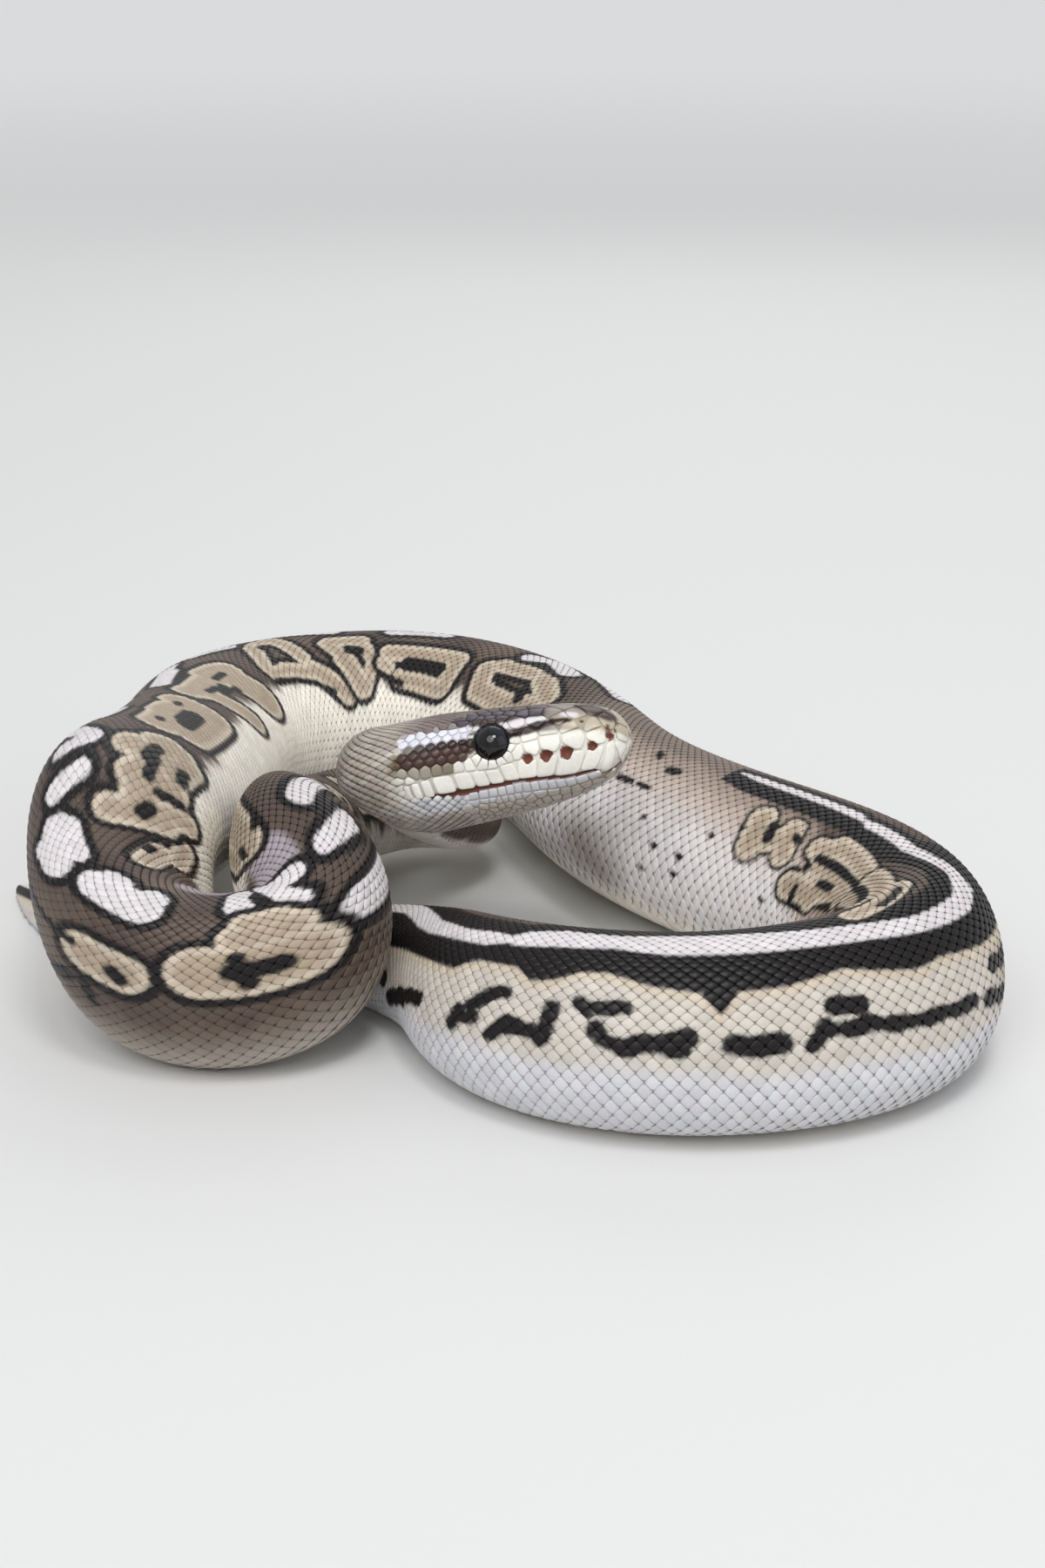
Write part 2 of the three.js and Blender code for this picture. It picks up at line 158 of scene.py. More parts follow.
@dataclass
class Body:
    """The animal's shape: one sweep from snout to tail, in millimetres along it and angle round it."""

    samples: int = 2400
    snout_round: float = 2.6
    snout_height: float = 1.4
    egg: float = 0.12
    keel: float = 0.05
    bend_room: float = 0.88
    fold: tuple[float, float, float, float] = (172.0, 58.0, 0.14, 0.03)
    length: float = field(init=False, default=0.0)
    _arc: np.ndarray = field(init=False, repr=False)
    _rows: np.ndarray = field(init=False, repr=False)
    _sections: np.ndarray = field(init=False, repr=False)

    def __post_init__(self) -> None:
        """Runs the spline through the course and keeps its frames."""
        c = np.array(COURSE, float)
        c = np.vstack([c[0], c[0], c, c[-1], c[-1]])
        t = np.linspace(0, len(c) - 3 - TINY, self.samples)
        i = t.astype(int)
        u = t - i
        basis = [(1 - u) ** 3, 3 * u**3 - 6 * u**2 + 4, -3 * u**3 + 3 * u**2 + 3 * u + 1, u**3]
        basis = np.stack(basis, 1) / 6
        q = sum(basis[:, k:k + 1] * c[i + k] for k in range(4))
        p = q[:, :3]
        arc = np.r_[0, np.cumsum(np.linalg.norm(np.diff(p, axis=0), axis=1))]
        tangent = np.gradient(p, arc, axis=0)
        tangent /= np.linalg.norm(tangent, axis=1)[:, None]
        bend = np.gradient(tangent, arc, axis=0)
        self.length = float(arc[-1])
        self._arc = arc
        self._rows = np.hstack([p, tangent, bend, q[:, 3:4]])
        self._sections = np.array(SECTIONS, float)

    def frames(self, s: np.ndarray) -> tuple[np.ndarray, ...]:
        """The spine's place, tangent, back, flank and bend at s.

        Args:
            s: arc lengths from the snout in mm.

        Returns:
            Place, tangent, back direction, flank direction (the animal's left) and bend vector, a row for
            each s.
        """
        rows = np.stack([np.interp(s, self._arc, self._rows[:, k]) for k in range(10)], 1)
        p, t, bend, lean = rows[:, :3], rows[:, 3:6], rows[:, 6:9], -np.radians(rows[:, 9])
        t = t / np.linalg.norm(t, axis=1)[:, None]
        up = np.array([0.0, 0.0, 1.0])
        back = up - t * (t @ up)[:, None]
        back /= np.linalg.norm(back, axis=1)[:, None]
        flank = np.cross(t, back)
        co, si = np.cos(lean)[:, None], np.sin(lean)[:, None]
        return p, t, back * co + flank * si, flank * co - back * si, bend

    def girth(self, s: np.ndarray) -> np.ndarray:
        """The mean radius in mm at s."""
        w, up, dn = self._section(np.asarray(s, float), (1, 2, 3))
        return (w + (up + dn) / 2) / 2

    def _section(self, s: np.ndarray, columns: Sequence[int]) -> list[np.ndarray]:
        """Columns of the table of sections at s."""
        return [hermite(self._sections[:, 0], self._sections[:, k], s) for k in columns]

    def degree(self, s: np.ndarray) -> np.ndarray:
        """Millimetres of skin to a degree of the way round at s, on the mean radius."""
        return self.girth(s) * math.pi / 180

    def point(self, s: np.ndarray, theta: np.ndarray, lift: np.ndarray | float = 0.0) -> np.ndarray:
        """Points on the skin, or above it: superellipses that are squeezed on the inside of a bend.

        Args:
            s: arc length from the snout in mm.
            theta: angle from the back, positive to the animal's left.
            lift: height above the skin in mm.

        Returns:
            Points in mm in the row's frame.
        """
        s, theta, lift = [np.asarray(x, float).ravel() for x in np.broadcast_arrays(s, theta, lift)]
        p, _, back, flank, bend = self.frames(s)
        w, up, dn, n = self._section(s, (1, 2, 3, 4))
        depth = SKIN_DEPTH - lift
        pressed = np.exp(-((s - self.fold[0]) / self.fold[1]) ** 4)
        w = np.maximum(w * (1 - self.fold[2] * pressed) - depth, 0.05)
        up = np.maximum(up * (1 + self.fold[3] * pressed) - depth, 0.05)
        dn = np.maximum(dn * (1 + self.fold[3] * pressed) - depth, 0.05)
        body = 1 - smooth(0.0, 1.0, (40 - s) / 12)
        co, si = np.cos(theta), np.sin(theta)
        x = np.sign(si) * np.abs(si) ** (2 / n) * (1 - self.egg * body * co)
        y = np.sign(co) * np.abs(co) ** (2 / n)
        u = w * x
        v = np.where(y > 0, up, dn) * y + up * body * self.keel * (np.cos(2 * theta) - 1)
        dulled = 1 - np.minimum(s - depth, self.snout_round) / self.snout_round
        blunt = np.sqrt(np.clip(1 - np.clip(dulled, 0, 1) ** 2, 0, 1))
        u = u * blunt
        v = np.where(s < self.snout_round + depth, self.snout_height + (v - self.snout_height) * blunt, v)
        inside = u * np.einsum("ij,ij->i", bend, flank) + v * np.einsum("ij,ij->i", bend, back)
        u = u / (1 + (np.maximum(inside, 0) / self.bend_room) ** 8) ** 0.125
        out = p + u[:, None] * flank + v[:, None] * back
        out[:, 2] = np.maximum(out[:, 2], depth)
        return out + SEAT


class Tone(Enum):
    """The animal's colours as they look on a display, 0 to 255 a channel."""

    TAN = (170, 154, 134)
    TAN_RIM = (200, 187, 168)
    BLACK = (24, 20, 21)
    BROWN = (100, 86, 76)
    DARK = (74, 62, 57)
    PALE = (218, 213, 215)
    LAVENDER = (168, 158, 166)
    CREAM = (240, 235, 223)
    PINKISH = (192, 177, 166)
    SILVER = (208, 208, 212)
    LABIAL = (242, 240, 230)
    PIT = (108, 60, 46)
    REDDISH = (100, 58, 44)
    STRIPE = (76, 56, 49)
    DUSK = (50, 34, 34)
    FRONT_TAN = (200, 193, 183)
    SLATE = (72, 64, 74)
    CROWN = (118, 104, 100)
    NAPE = (180, 170, 159)
    OLIVE = (188, 177, 156)
    MOSS = (122, 110, 88)
    FROST = (222, 222, 232)
    FAWN = (152, 136, 125)
    LILAC = (226, 222, 222)
    THROAT = (186, 178, 168)

    @property
    def rgb(self) -> np.ndarray:
        """The linear colour that a shader takes."""
        return (np.array(self.value, float) / 255.0) ** 2.2


Stroke = tuple[float, float, float, float, float]


def nearest(strokes: Sequence[Stroke], s: np.ndarray, v: np.ndarray,
            scale: np.ndarray | float = 1.0) -> np.ndarray:
    """The distance in mm to the edge of round-ended strokes, negative inside them.

    Args:
        strokes: each from (s, v) to (s, v) with a radius.
        s: places along the body in mm.
        v: places round the body, in mm or another unit.
        scale: millimetres in a unit of v.

    Returns:
        The distance at each place.
    """
    out = np.full(s.shape, NO_EDGE)
    for s0, v0, s1, v1, radius in strokes:
        ds, dv, rise = s1 - s0, (v1 - v0) * scale, (v - v0) * scale
        along = np.clip(((s - s0) * ds + rise * dv) / np.maximum(ds * ds + dv * dv, TINY), 0, 1)
        out = np.minimum(out, np.hypot(s - s0 - along * ds, rise - along * dv) - radius)
    return out


def mix_rows(a: np.ndarray, b: np.ndarray, share: np.ndarray) -> np.ndarray:
    """Colours between a and b, a row for each share of b."""
    return a + (b - a) * np.asarray(share)[:, None]


@dataclass(frozen=True)
class Blotch:
    """One pale mark, its dark cores and its dark outline."""

    strokes: tuple[Stroke, ...]
    cores: tuple[Stroke, ...] = ()
    tone: Tone = Tone.TAN
    rim: Tone = Tone.TAN_RIM
    outline: float = 1.1

    def mirrored(self) -> "Blotch":
        """The same mark on the other flank."""
        def flip(rows: tuple[Stroke, ...]) -> tuple[Stroke, ...]:
            """Strokes with their heights turned over."""
            return tuple((a, -b, c, -d, r) for a, b, c, d, r in rows)
        return Blotch(flip(self.strokes), flip(self.cores), self.tone, self.rim, self.outline)


def spot(*strokes: Stroke, cores: tuple[Stroke, ...] = ()) -> Blotch:
    """A pale spot of the back."""
    return Blotch(strokes, cores, Tone.PALE, Tone.PALE, 1.25)


VISIBLE_BLOTCHES = (
    # raised fore part
    spot((126, -6, 131, 0.6, 1.5)), spot((134, -4.5, 137.5, 1.5, 1.3)), spot((136.5, -10.5, 141.5, -6, 1.7)),
    Blotch(((121, 8, 131, 10, 2.6), (123, 12, 131, 12.5, 1.6)),
           ((129.5, 6.6, 130.5, 7.6, 0.6), (130.5, 11, 132, 11.3, 0.5))),
    # front fold
    spot((141.5, 5, 145, 5.5, 2), (144.6, 0, 145.2, 3, 1.7), (150, 2, 149.6, 5, 1.9),
         (146, -1.5, 149, -1, 1.7), cores=((146.9, 0.9, 147.5, 3.3, 1.0),)),
    Blotch(((146.5, -7.4, 154.5, -7, 3.1), (146, -3.6, 151, -3.4, 2.0), (146.5, -2, 150, -1.5, 1.6)),
           ((147.8, -7.6, 152, -7.3, 0.9), (150.8, -8.8, 151.4, -5.9, 0.8))),
    Blotch(((161, -8.6, 164.6, -8.1, 2.3),), ((161.2, -9.4, 161.9, -8.8, 0.7),)),
    Blotch(((170, 11, 173, 14, 1.8), (172, 16, 176, 18, 1.6)), ((172.8, 12.2, 173.6, 13, 0.6),)),
    spot((161.6, 1, 166.4, 1.7, 2.6), (160.6, 3, 161.5, 3.6, 1.5), (165.8, 3.6, 166.5, 3.6, 1.6)),
    spot((172.8, -0.4, 175.6, 1.6, 2.8), (172, 3, 176.2, 3.4, 1.5), (174.8, -2.4, 174.8, -1.5, 1.1)),
    spot((180.6, 1.2, 183, 5.2, 1.2)), spot((185.6, 0.6, 187.3, 4.9, 1.1), (190, -0.5, 187.5, 4.8, 1.2)),
    # left side, inner flank
    Blotch(((178.8, 8.8, 179, 15.5, 2.0), (181, 12.6, 192, 13, 2.6), (188, 9.6, 188, 15, 2.2),
            (184, 11.4, 184, 16.5, 2.2), (180.4, 15, 180.8, 19, 1.7), (187, 16, 190.5, 16.4, 2.4),
            (191, 12, 192, 14.5, 2.4)),
           ((179.3, 12.7, 180.2, 13.6, 0.9), (184.3, 13.1, 187, 13, 0.7), (187, 12.2, 189.3, 12.4, 0.9),
            (182.7, 14.6, 182.9, 17.8, 0.6), (186.5, 17, 188, 16.6, 0.9))),
    Blotch(((198.5, 9, 205, 8.5, 3.0), (202, 11.5, 214, 11.5, 3.8), (206, 8.2, 210, 8.2, 3.4),
            (215, 7.5, 215.5, 12, 3.2)),
           ((204.3, 11, 211.3, 10.8, 1.2), (205.5, 10, 210.5, 9.8, 0.8), (200.4, 8.6, 201.6, 8.3, 0.6),
            (212.7, 7.8, 213.8, 7.6, 0.6))),
    Blotch(((222.6, 7.3, 224, 7.5, 2.4), (224, 8, 243, 9, 2.5), (226, 10, 229.2, 16.4, 2.4),
            (239.6, 10, 241.8, 14.6, 4.3), (236, 8.2, 241, 9, 3.2)),
           ((230.6, 10.2, 234, 11.6, 0.8), (233.4, 11, 234.2, 16.5, 1.2), (234, 12.4, 236.5, 12.2, 0.7),
            (227, 9.5, 231, 10.2, 0.5), (235.5, 9, 240, 9.1, 0.5))),
    spot((226, 2.4, 236, 1.6, 1.7), (236, 1, 241, 0, 1.4)),
    # rear arc
    Blotch(((254.5, 5, 252, 11, 1.5), (258.5, 3.5, 261, 10, 1.5), (252, 12, 256, 12, 1.3),
            (256, 11.7, 262, 13, 1.4), (262, 12.4, 268, 17, 1.7), (256.4, 4, 258, 3.6, 1.4)),
           ((256, 6.2, 257.5, 9.4, 1.0), (252, 13.4, 260, 14.6, 0.5), (260, 14.6, 265, 16.4, 0.4))),
    Blotch(((267, 7, 272, 7, 1.5), (266.5, 7.5, 269, 11, 1.5), (272, 8, 274.3, 12, 1.3),
            (268.5, 11, 271.5, 16, 1.9), (274, 12, 272.5, 16.3, 1.3)),
           ((269.8, 9.1, 271.5, 9.6, 0.9), (264.4, 12, 266.6, 14.2, 0.8))),
    Blotch(((277, 10, 290, 9.8, 1.7), (276, 12, 277.5, 12.8, 1.2), (290.4, 10, 291, 15, 1.8),
            (280, 14.4, 290, 15.4, 1.5)),
           ((281, 12, 288, 12.2, 1.2), (275.6, 14.2, 281, 15.4, 0.5))),
    Blotch(((299, 8.4, 306, 7.7, 1.6), (297, 10, 299, 13.4, 1.9), (299, 13.6, 306, 14, 1.9),
            (309, 7.6, 315, 10, 1.9), (306, 14, 314, 12, 1.7)),
           ((302.4, 11, 307, 10.2, 1.1), (307, 10, 310, 12.4, 0.8))),
    spot((300.5, 4.2, 303.5, 2, 1.5), (304, 1.8, 309, 3.2, 1.9)), spot((312.6, -1.6, 320.5, 0.2, 1.5)),
    spot((277, 3.6, 284, 3, 1.4)), spot((263, 0.5, 268, 2.2, 1.4)), spot((246, 1, 252, 2.4, 1.4)),
    spot((196, 1.2, 206, 0.6, 1.3)),
    # right side, inner flank
    Blotch(((366.2, 10.8, 367, 14.6, 1.9), (368.5, 13.4, 372, 11.8, 1.6), (371.4, 10.8, 372.4, 14, 1.7)),
           ((368.4, 11.3, 368.8, 12.9, 0.7), (372.6, 11.5, 373.2, 11.8, 0.5), (364, 12.8, 364.4, 13, 0.4)),
           outline=0.5),
    Blotch(((377, 11.6, 381, 10.6, 1.5), (380, 10.1, 390, 10.4, 1.6), (379, 13.7, 391, 13.2, 1.3),
            (376.5, 17, 383, 16.6, 1.9), (383, 16, 391, 14, 1.5)),
           ((374.5, 15, 378, 14.1, 0.55), (378.6, 12.6, 386, 12.2, 0.55), (382.4, 14.9, 386, 14.4, 0.5),
            (378.3, 16.8, 378.5, 19, 0.5), (378.5, 19, 381.5, 18.7, 0.4), (386, 12.3, 392, 11.6, 0.45),
            (386.5, 17, 390, 15.6, 0.5)), outline=0.6),
    Blotch(((392, 9.6, 402, 6.2, 1.6), (399, 5, 410, 1.8, 1.6), (394, 12.6, 406, 7, 1.5)),
           ((393, 11.4, 403, 8, 0.6), (400, 4.4, 406, 2.2, 0.5)), outline=0.6),
)

# dark marks of the front stretch and loose flecks: s, v, s, v, radius
DARK_MARKS = (
    (394, -12, 399, -11, 0.7), (396, -15.6, 401, -13.8, 0.7), (403, -13.2, 411, -13, 0.6),
    (411, -13, 414, -12.2, 0.6), (414.6, -10.3, 416.4, -10.2, 0.8), (413.5, -12.6, 417.5, -12.4, 0.6),
    (417.6, -12, 418.8, -13.7, 0.5), (421.5, -13.2, 425, -13.1, 0.9), (429, -12.3, 433, -13, 0.8),
    (429.4, -13.3, 431.5, -12.8, 0.7), (433.5, -13.5, 435.6, -12.8, 0.6), (435.6, -12.8, 436.6, -11.6, 0.5),
    (434, -9.5, 437, -9.5, 0.5), (437.3, -10.1, 438, -9.3, 0.45), (440.6, -9.9, 441.1, -13.2, 0.55),
    (441.4, -12.6, 444.6, -12.4, 0.65), (444.6, -12, 446, -13.6, 0.5), (445, -9.3, 446.5, -9.5, 0.45),
    (446.5, -9.5, 448.6, -11.2, 0.5), (449.6, -11.8, 450.4, -13.6, 0.5), (448, -12.3, 450, -12.5, 0.45),
    (456, -12.1, 460, -12.6, 0.7), (460, -12.7, 468, -12.9, 0.9), (470, -10.5, 478, -9, 0.8),
    (166, -7.6, 174, -8, 0.45), (166, -12.5, 169, -14.6, 0.8), (163.4, -14, 164.6, -11.6, 0.5),
    (344.2, 7.2, 345, 7.8, 0.5), (348.6, 9.2, 349.8, 9, 0.6), (343, 13.1, 345.4, 13, 0.35),
    (346.6, 12.8, 348.4, 12.8, 0.3), (354, 19, 354.2, 19.2, 0.3), (358, 19, 358.3, 19.2, 0.35),
    (358, 21.4, 358.2, 21.6, 0.3), (353, 22.4, 353.2, 22.6, 0.25), (361, 15, 361.2, 15.3, 0.25),
    (350.6, 16.3, 350.8, 16.5, 0.25), (372.5, 20, 372.8, 20.2, 0.3),
)
# the pale stripe of the back: s, centre, half width
STRIPE = (
    (357, 4.3, 0.2), (360, 4.4, 0.7), (377, 4.5, 0.8), (378.2, 4.9, 0.3), (379.5, 5.1, 0.9), (388, 4.4, 1.0),
    (390.5, 2.8, 1.3), (392.5, 0.6, 1.6), (394.5, -1.8, 1.8), (398, -3.2, 1.4), (405, -3, 1.2),
    (411, -2.1, 1.4), (417, -1.6, 1.6), (423, -1.1, 2.0), (431, -1, 2.0), (436, -0.9, 1.4),
    (442, -1.1, 1.8), (446, -2.2, 1.4), (447.4, -2.8, 0.6), (449.5, -3.2, 1.1), (454, -3.7, 0.9),
    (461, -3.9, 1.1), (466, -2.8, 1.4), (472, -0.4, 1.5), (480, 0.2, 1.3), (500, 0, 1.0), (543, 0, 0.35),
)
# upper edge of the tan band on the right flank of the front stretch: s, v
BAND = (
    (388, -10.5), (394, -9), (400, -8.4), (405, -7.5), (408, -8.1), (412, -7.3), (415, -6.5), (420, -7.6),
    (424.6, -7.8), (426.2, -10.2), (427.8, -7.8), (432, -7.1), (436, -5.8), (438.5, -6), (441, -7.2),
    (443, -7.6), (445, -6.3), (449.4, -6.4), (452, -8), (460, -8), (465, -7.5), (470, -7), (480, -5.2),
    (500, -3.6), (543, -1),
)
# where the patterned zone gives way to the pale flank: s, v on the left flank, v on the right flank
FLANK_EDGE = (
    (28, 9, 9), (40, 14, 14), (66, 14, 14), (80, 11, 11), (110, 12, 11), (133, 13, 11), (145, 14, 12.5),
    (175, 19, 15), (198, 17, 16), (212, 14.5, 16), (245, 14, 16), (262, 13.5, 16), (275, 14.5, 16),
    (290, 15, 16), (316, 14, 16), (328, 6.5, 16), (352, 6.0, 16), (374, 8.5, 16), (384, 15, 15.5),
    (396, 15, 15), (420, 14, 14.6), (455, 12.5, 12.8), (480, 8, 8), (500, 6, 6), (543, 1.4, 1.4),
)
# the head's marks from first laid to last: strokes in s and degrees from the crown, tone, softness in mm
HEAD_MARKS: tuple[tuple[tuple[Stroke, ...], Tone, float], ...] = (
    (((2.8, 48, 6.6, 45, 1.2),), Tone.OLIVE, 0.9),
    # the pale stroke at s 5.9 to 7, 34 to 36 degrees, is a painted highlight on the snout; the other pale
    # strokes are the head's own pale marks
    (((9.6, 43, 12, 46, 0.62), (12, 46, 14.2, 51, 0.6), (5.9, 36, 7, 34, 0.5), (17.5, 50, 19, 52, 0.5)),
     Tone.PALE, 0.3),
    (((10.4, 28, 14.5, 30, 0.95), (14.5, 28, 19.5, 30, 1.15)), Tone.SLATE, 0.35),
    (((2.4, 24, 5.2, 10, 1.2),), Tone.DARK, 0.4),
    (((6.4, 45.5, 8.5, 48, 0.34), (8.5, 48, 10, 51, 0.5), (10, 51, 11.5, 56.5, 0.6),
      (11.5, 56.5, 14, 64, 0.5)), Tone.DUSK, 0.18),
    (((2.05, 50, 1.75, 74, 0.24),), Tone.REDDISH, 0.2),
    (((19.0, 47.5, 25.4, 49, 0.8), (19.0, 55, 25.4, 56, 0.75)), Tone.FROST, 0.35),
    (((20.6, 86, 26, 84, 0.5), (26, 70, 26.4, 84, 0.6)), Tone.MOSS, 0.5),
    (((18.2, 71, 25.2, 74, 0.95), (19.6, 79, 25.4, 80, 0.85)), Tone.STRIPE, 0.3),
    (((18.0, 66, 24.8, 66.5, 0.55),), Tone.DUSK, 0.2),
)


@dataclass
class Markings:
    """The animal's colour at every place on it, by rule and by listed marks."""

    body: Body
    seed: int = 128
    belly: tuple[float, float] = (132.0, 146.0)  # degrees from the back
    neck: tuple[float, float] = (28.0, 36.0)  # mm from the snout
    hidden: tuple[tuple[float, float, int], ...] = (
        (38, 112, 1), (40, 118, -1), (182, 367, -1), (414, 470, 1),
    )  # from, to and side
    blotches: list[Blotch] = field(default_factory=list)

    def __post_init__(self) -> None:
        """Adds the marks of the unseen flanks to the placed ones."""
        self.blotches = list(VISIBLE_BLOTCHES)
        rng = np.random.default_rng(self.seed)
        for start, stop, side in self.hidden:
            at = float(start)
            while at < stop:
                at += self._add_mark(rng, at, side)

    def _add_mark(self, rng: np.random.Generator, at: float, side: int) -> float:
        """Adds one mark of a drawn form with its cores, and sometimes a pale spot of the back.

        Args:
            rng: the seeded source of chance.
            at: where the mark starts along the body in mm.
            side: 1 for the left flank, -1 for the right.

        Returns:
            How far on the next mark starts, in mm.
        """
        scale = float(self.body.girth(np.array([at]))[0]) / 12.0
        wide, top, low, lean = rng.uniform((14.0, 6.6, 12.6, -1.3), (22.0, 8.6, 14.6, 1.3))
        a, b = 0.24 * wide, 0.74 * wide
        mid, waist = 0.5 * (a + b), 0.5 * (top + low)
        forms = (
            # two lobes and a waist
            (((a, top, a + lean, low, 2.4), (b, top + lean, b, low, 2.7), (a, waist, b, waist, 2.8)),
             ((a, waist, a + 0.8, waist + 1.4, 0.9), (b - 1, waist - 0.5, b + 1.4, waist, 1.0))),
            # broad above, with a foot down the flank
            (((a, top + 0.6, b, top + lean, 3.0), (mid, top, mid + lean, low + 2.4, 2.2)),
             ((a + 1, top + 0.8, b - 2, top + lean, 0.8), (mid, waist + 0.8, mid + lean, low + 0.6, 0.6))),
            # broad below, with an arm towards the back
            (((a, low - 1, b, low + 0.5 * lean, 2.9), (b, low, b - lean, top - 1.4, 2.0),
              (a, low - 1, a + 1, waist, 2.3)),
             ((a, low - 0.8, a + 1.8, low - 0.4, 0.9), (b - 0.2, waist + 1, b - lean, waist - 1.4, 0.6))),
            # one round blotch with a long core
            (((a, waist - 0.6, b, waist + lean, 3.5), (mid + lean, top - 0.6, mid, top + 1, 2.4)),
             ((a + 0.6, waist, b - 0.8, waist + 0.6 * lean, 1.2),)),
        )
        strokes, cores = [
            tuple((at + scale * s0, scale * v0, at + scale * s1, scale * v1, scale * radius)
                  for s0, v0, s1, v1, radius in rows)
            for rows in forms[int(rng.integers(len(forms)))]
        ]
        mark = Blotch(strokes, cores)
        self.blotches.append(mark if side > 0 else mark.mirrored())
        if side < 0 and rng.uniform() < 0.75 and 190 < at < 345:
            dot = spot((at, -2.6, at + rng.uniform(1, 4), -3.4, 1.6 * scale))
            self.blotches.append(dot)
        return (wide + 3.6) * scale

    def trunk(self, s: np.ndarray, v: np.ndarray) -> np.ndarray:
        """The trunk's colour.

        Args:
            s: places along the body in mm.
            v: places round the body in mm, positive on the left flank.

        Returns:
            Linear colours, a row for each place.
        """
        mix = mix_rows
        left = v > 0
        up = np.abs(v)
        edge = np.where(left, table_at(FLANK_EDGE, s), table_at(FLANK_EDGE, s, 2))
        below = up - edge
        right = smooth(318, 332, s) * smooth(400, 388, s)
        front = smooth(388, 398, s) * ~left
        wave = 0.5 + 0.5 * np.sin(0.31 * s + 1.7 * np.sin(0.11 * s)) * np.cos(0.23 * v + 0.05 * s)
        ground = mix(Tone.DARK.rgb, Tone.BROWN.rgb, wave)
        ground = mix(ground, Tone.FAWN.rgb * 0.62, smooth(316, 328, s) * smooth(362, 354, s))
        ground = mix(ground, Tone.FRONT_TAN.rgb, front)
        warm = mix(Tone.PINKISH.rgb, Tone.FAWN.rgb, right * smooth(5.5, 1.0, below))
        pale_end = mix(Tone.CREAM.rgb, Tone.LILAC.rgb, right)
        cream = mix(warm, pale_end, smooth(-2 + 6 * right, 2 + 9 * right, below))
        silver = mix(Tone.FRONT_TAN.rgb, Tone.SILVER.rgb, smooth(0, 3, below))
        fold = (s > 138) & (s < 178) & ~left
        pale = mix(cream, silver, front)
        pale = np.where(fold[:, None], mix(Tone.BROWN.rgb, Tone.NAPE.rgb, smooth(0, 9, below)), pale)
        roam = 0.7 * np.sin(0.9 * s) + 0.4 * np.sin(2.3 * s + 1)
        colour = mix(ground, pale, smooth(-1.0, 1.4, below + np.where(edge > 10, roam, 0.4 * roam)))
        # painted shadow: a darker pinkish patch on the left flank at s 342 to 346, v 23 to 26
        shade = smooth(3.5, -4.0, nearest(((342, 23, 346, 26, 3.0),), s, v)) * left
        colour = mix(colour, Tone.PINKISH.rgb * 0.55, 0.75 * shade)
        lavender = nearest(((136, 9, 143, 7, 3.4), (150, 9, 160, 11, 2.5)), s, v)
        colour = mix(colour, Tone.LAVENDER.rgb, smooth(0.8, -0.8, lavender))
        colour = self._front_band(s, v, colour)
        for blotch in self.blotches:
            colour = self._lay(blotch, s, v, colour)
        swell = 0.14 * (1 + np.sin(1.7 * s + v)) * (s > 392)
        dark = nearest(DARK_MARKS, s, v) - swell
        return mix(colour, Tone.BLACK.rgb, smooth(0.25, -0.05, dark))

    def _lay(self, blotch: Blotch, s: np.ndarray, v: np.ndarray, colour: np.ndarray) -> np.ndarray:
        """One mark laid over the colours so far, which it returns changed."""
        low = min(min(k[0], k[2]) - k[4] for k in blotch.strokes) - 3
        high = max(max(k[0], k[2]) + k[4] for k in blotch.strokes) + 3
        near = np.nonzero((s > low) & (s < high))[0]
        if not len(near):
            return colour
        d = nearest(blotch.strokes, s[near], v[near])
        out = colour[near]
        rim = smooth(-1.3, -0.4, d)[:, None]
        out = mix_rows(out, Tone.BLACK.rgb, smooth(blotch.outline + 0.3, blotch.outline - 0.25, d))
        out = mix_rows(out, blotch.tone.rgb * (1 - rim) + blotch.rim.rgb * rim, smooth(0.22, -0.18, d))
        if blotch.cores:
            core = nearest(blotch.cores, s[near], v[near])
            out = mix_rows(out, Tone.BLACK.rgb, smooth(0.32, -0.08, core) * (d < 0.5))
        colour = colour.copy()
        colour[near] = out
        return colour

    def _front_band(self, s: np.ndarray, v: np.ndarray, colour: np.ndarray) -> np.ndarray:
        """The pale stripe of the back, its black borders and the tan band of the front stretch."""
        half = table_at(STRIPE, s, 2)
        off = v - table_at(STRIPE, s)
        band = table_at(BAND, s)
        lobes = 0.8 + 0.9 * np.sin(0.33 * s + 0.8 * np.sin(0.12 * s))
        inside = smooth(-0.25, 0.2, band - v) * smooth(-1.2, 0.8, table_at(FLANK_EDGE, s, 2) + lobes + v)
        rim = smooth(1.5, 0.4, band - v)[:, None]
        tan = mix_rows(Tone.TAN.rgb, Tone.FRONT_TAN.rgb, smooth(392, 402, s))
        colour = mix_rows(colour, tan * (1 - rim) + Tone.TAN_RIM.rgb * rim, (s > 392) * inside)
        black_low = (s > 386) * smooth(-0.2, 0.25, v - band) * (off < 0)
        upper = half + np.where(s < 392, 3.0, 3.4)
        black_high = (s > 356) * smooth(-0.3, 0.2, off + 1.5 + half) * smooth(-0.3, 0.3, upper - off)
        colour = mix_rows(colour, Tone.BLACK.rgb, np.maximum(black_low, black_high))
        return mix_rows(colour, Tone.PALE.rgb, (s > 357) * smooth(-0.25, 0.2, half - np.abs(off)))

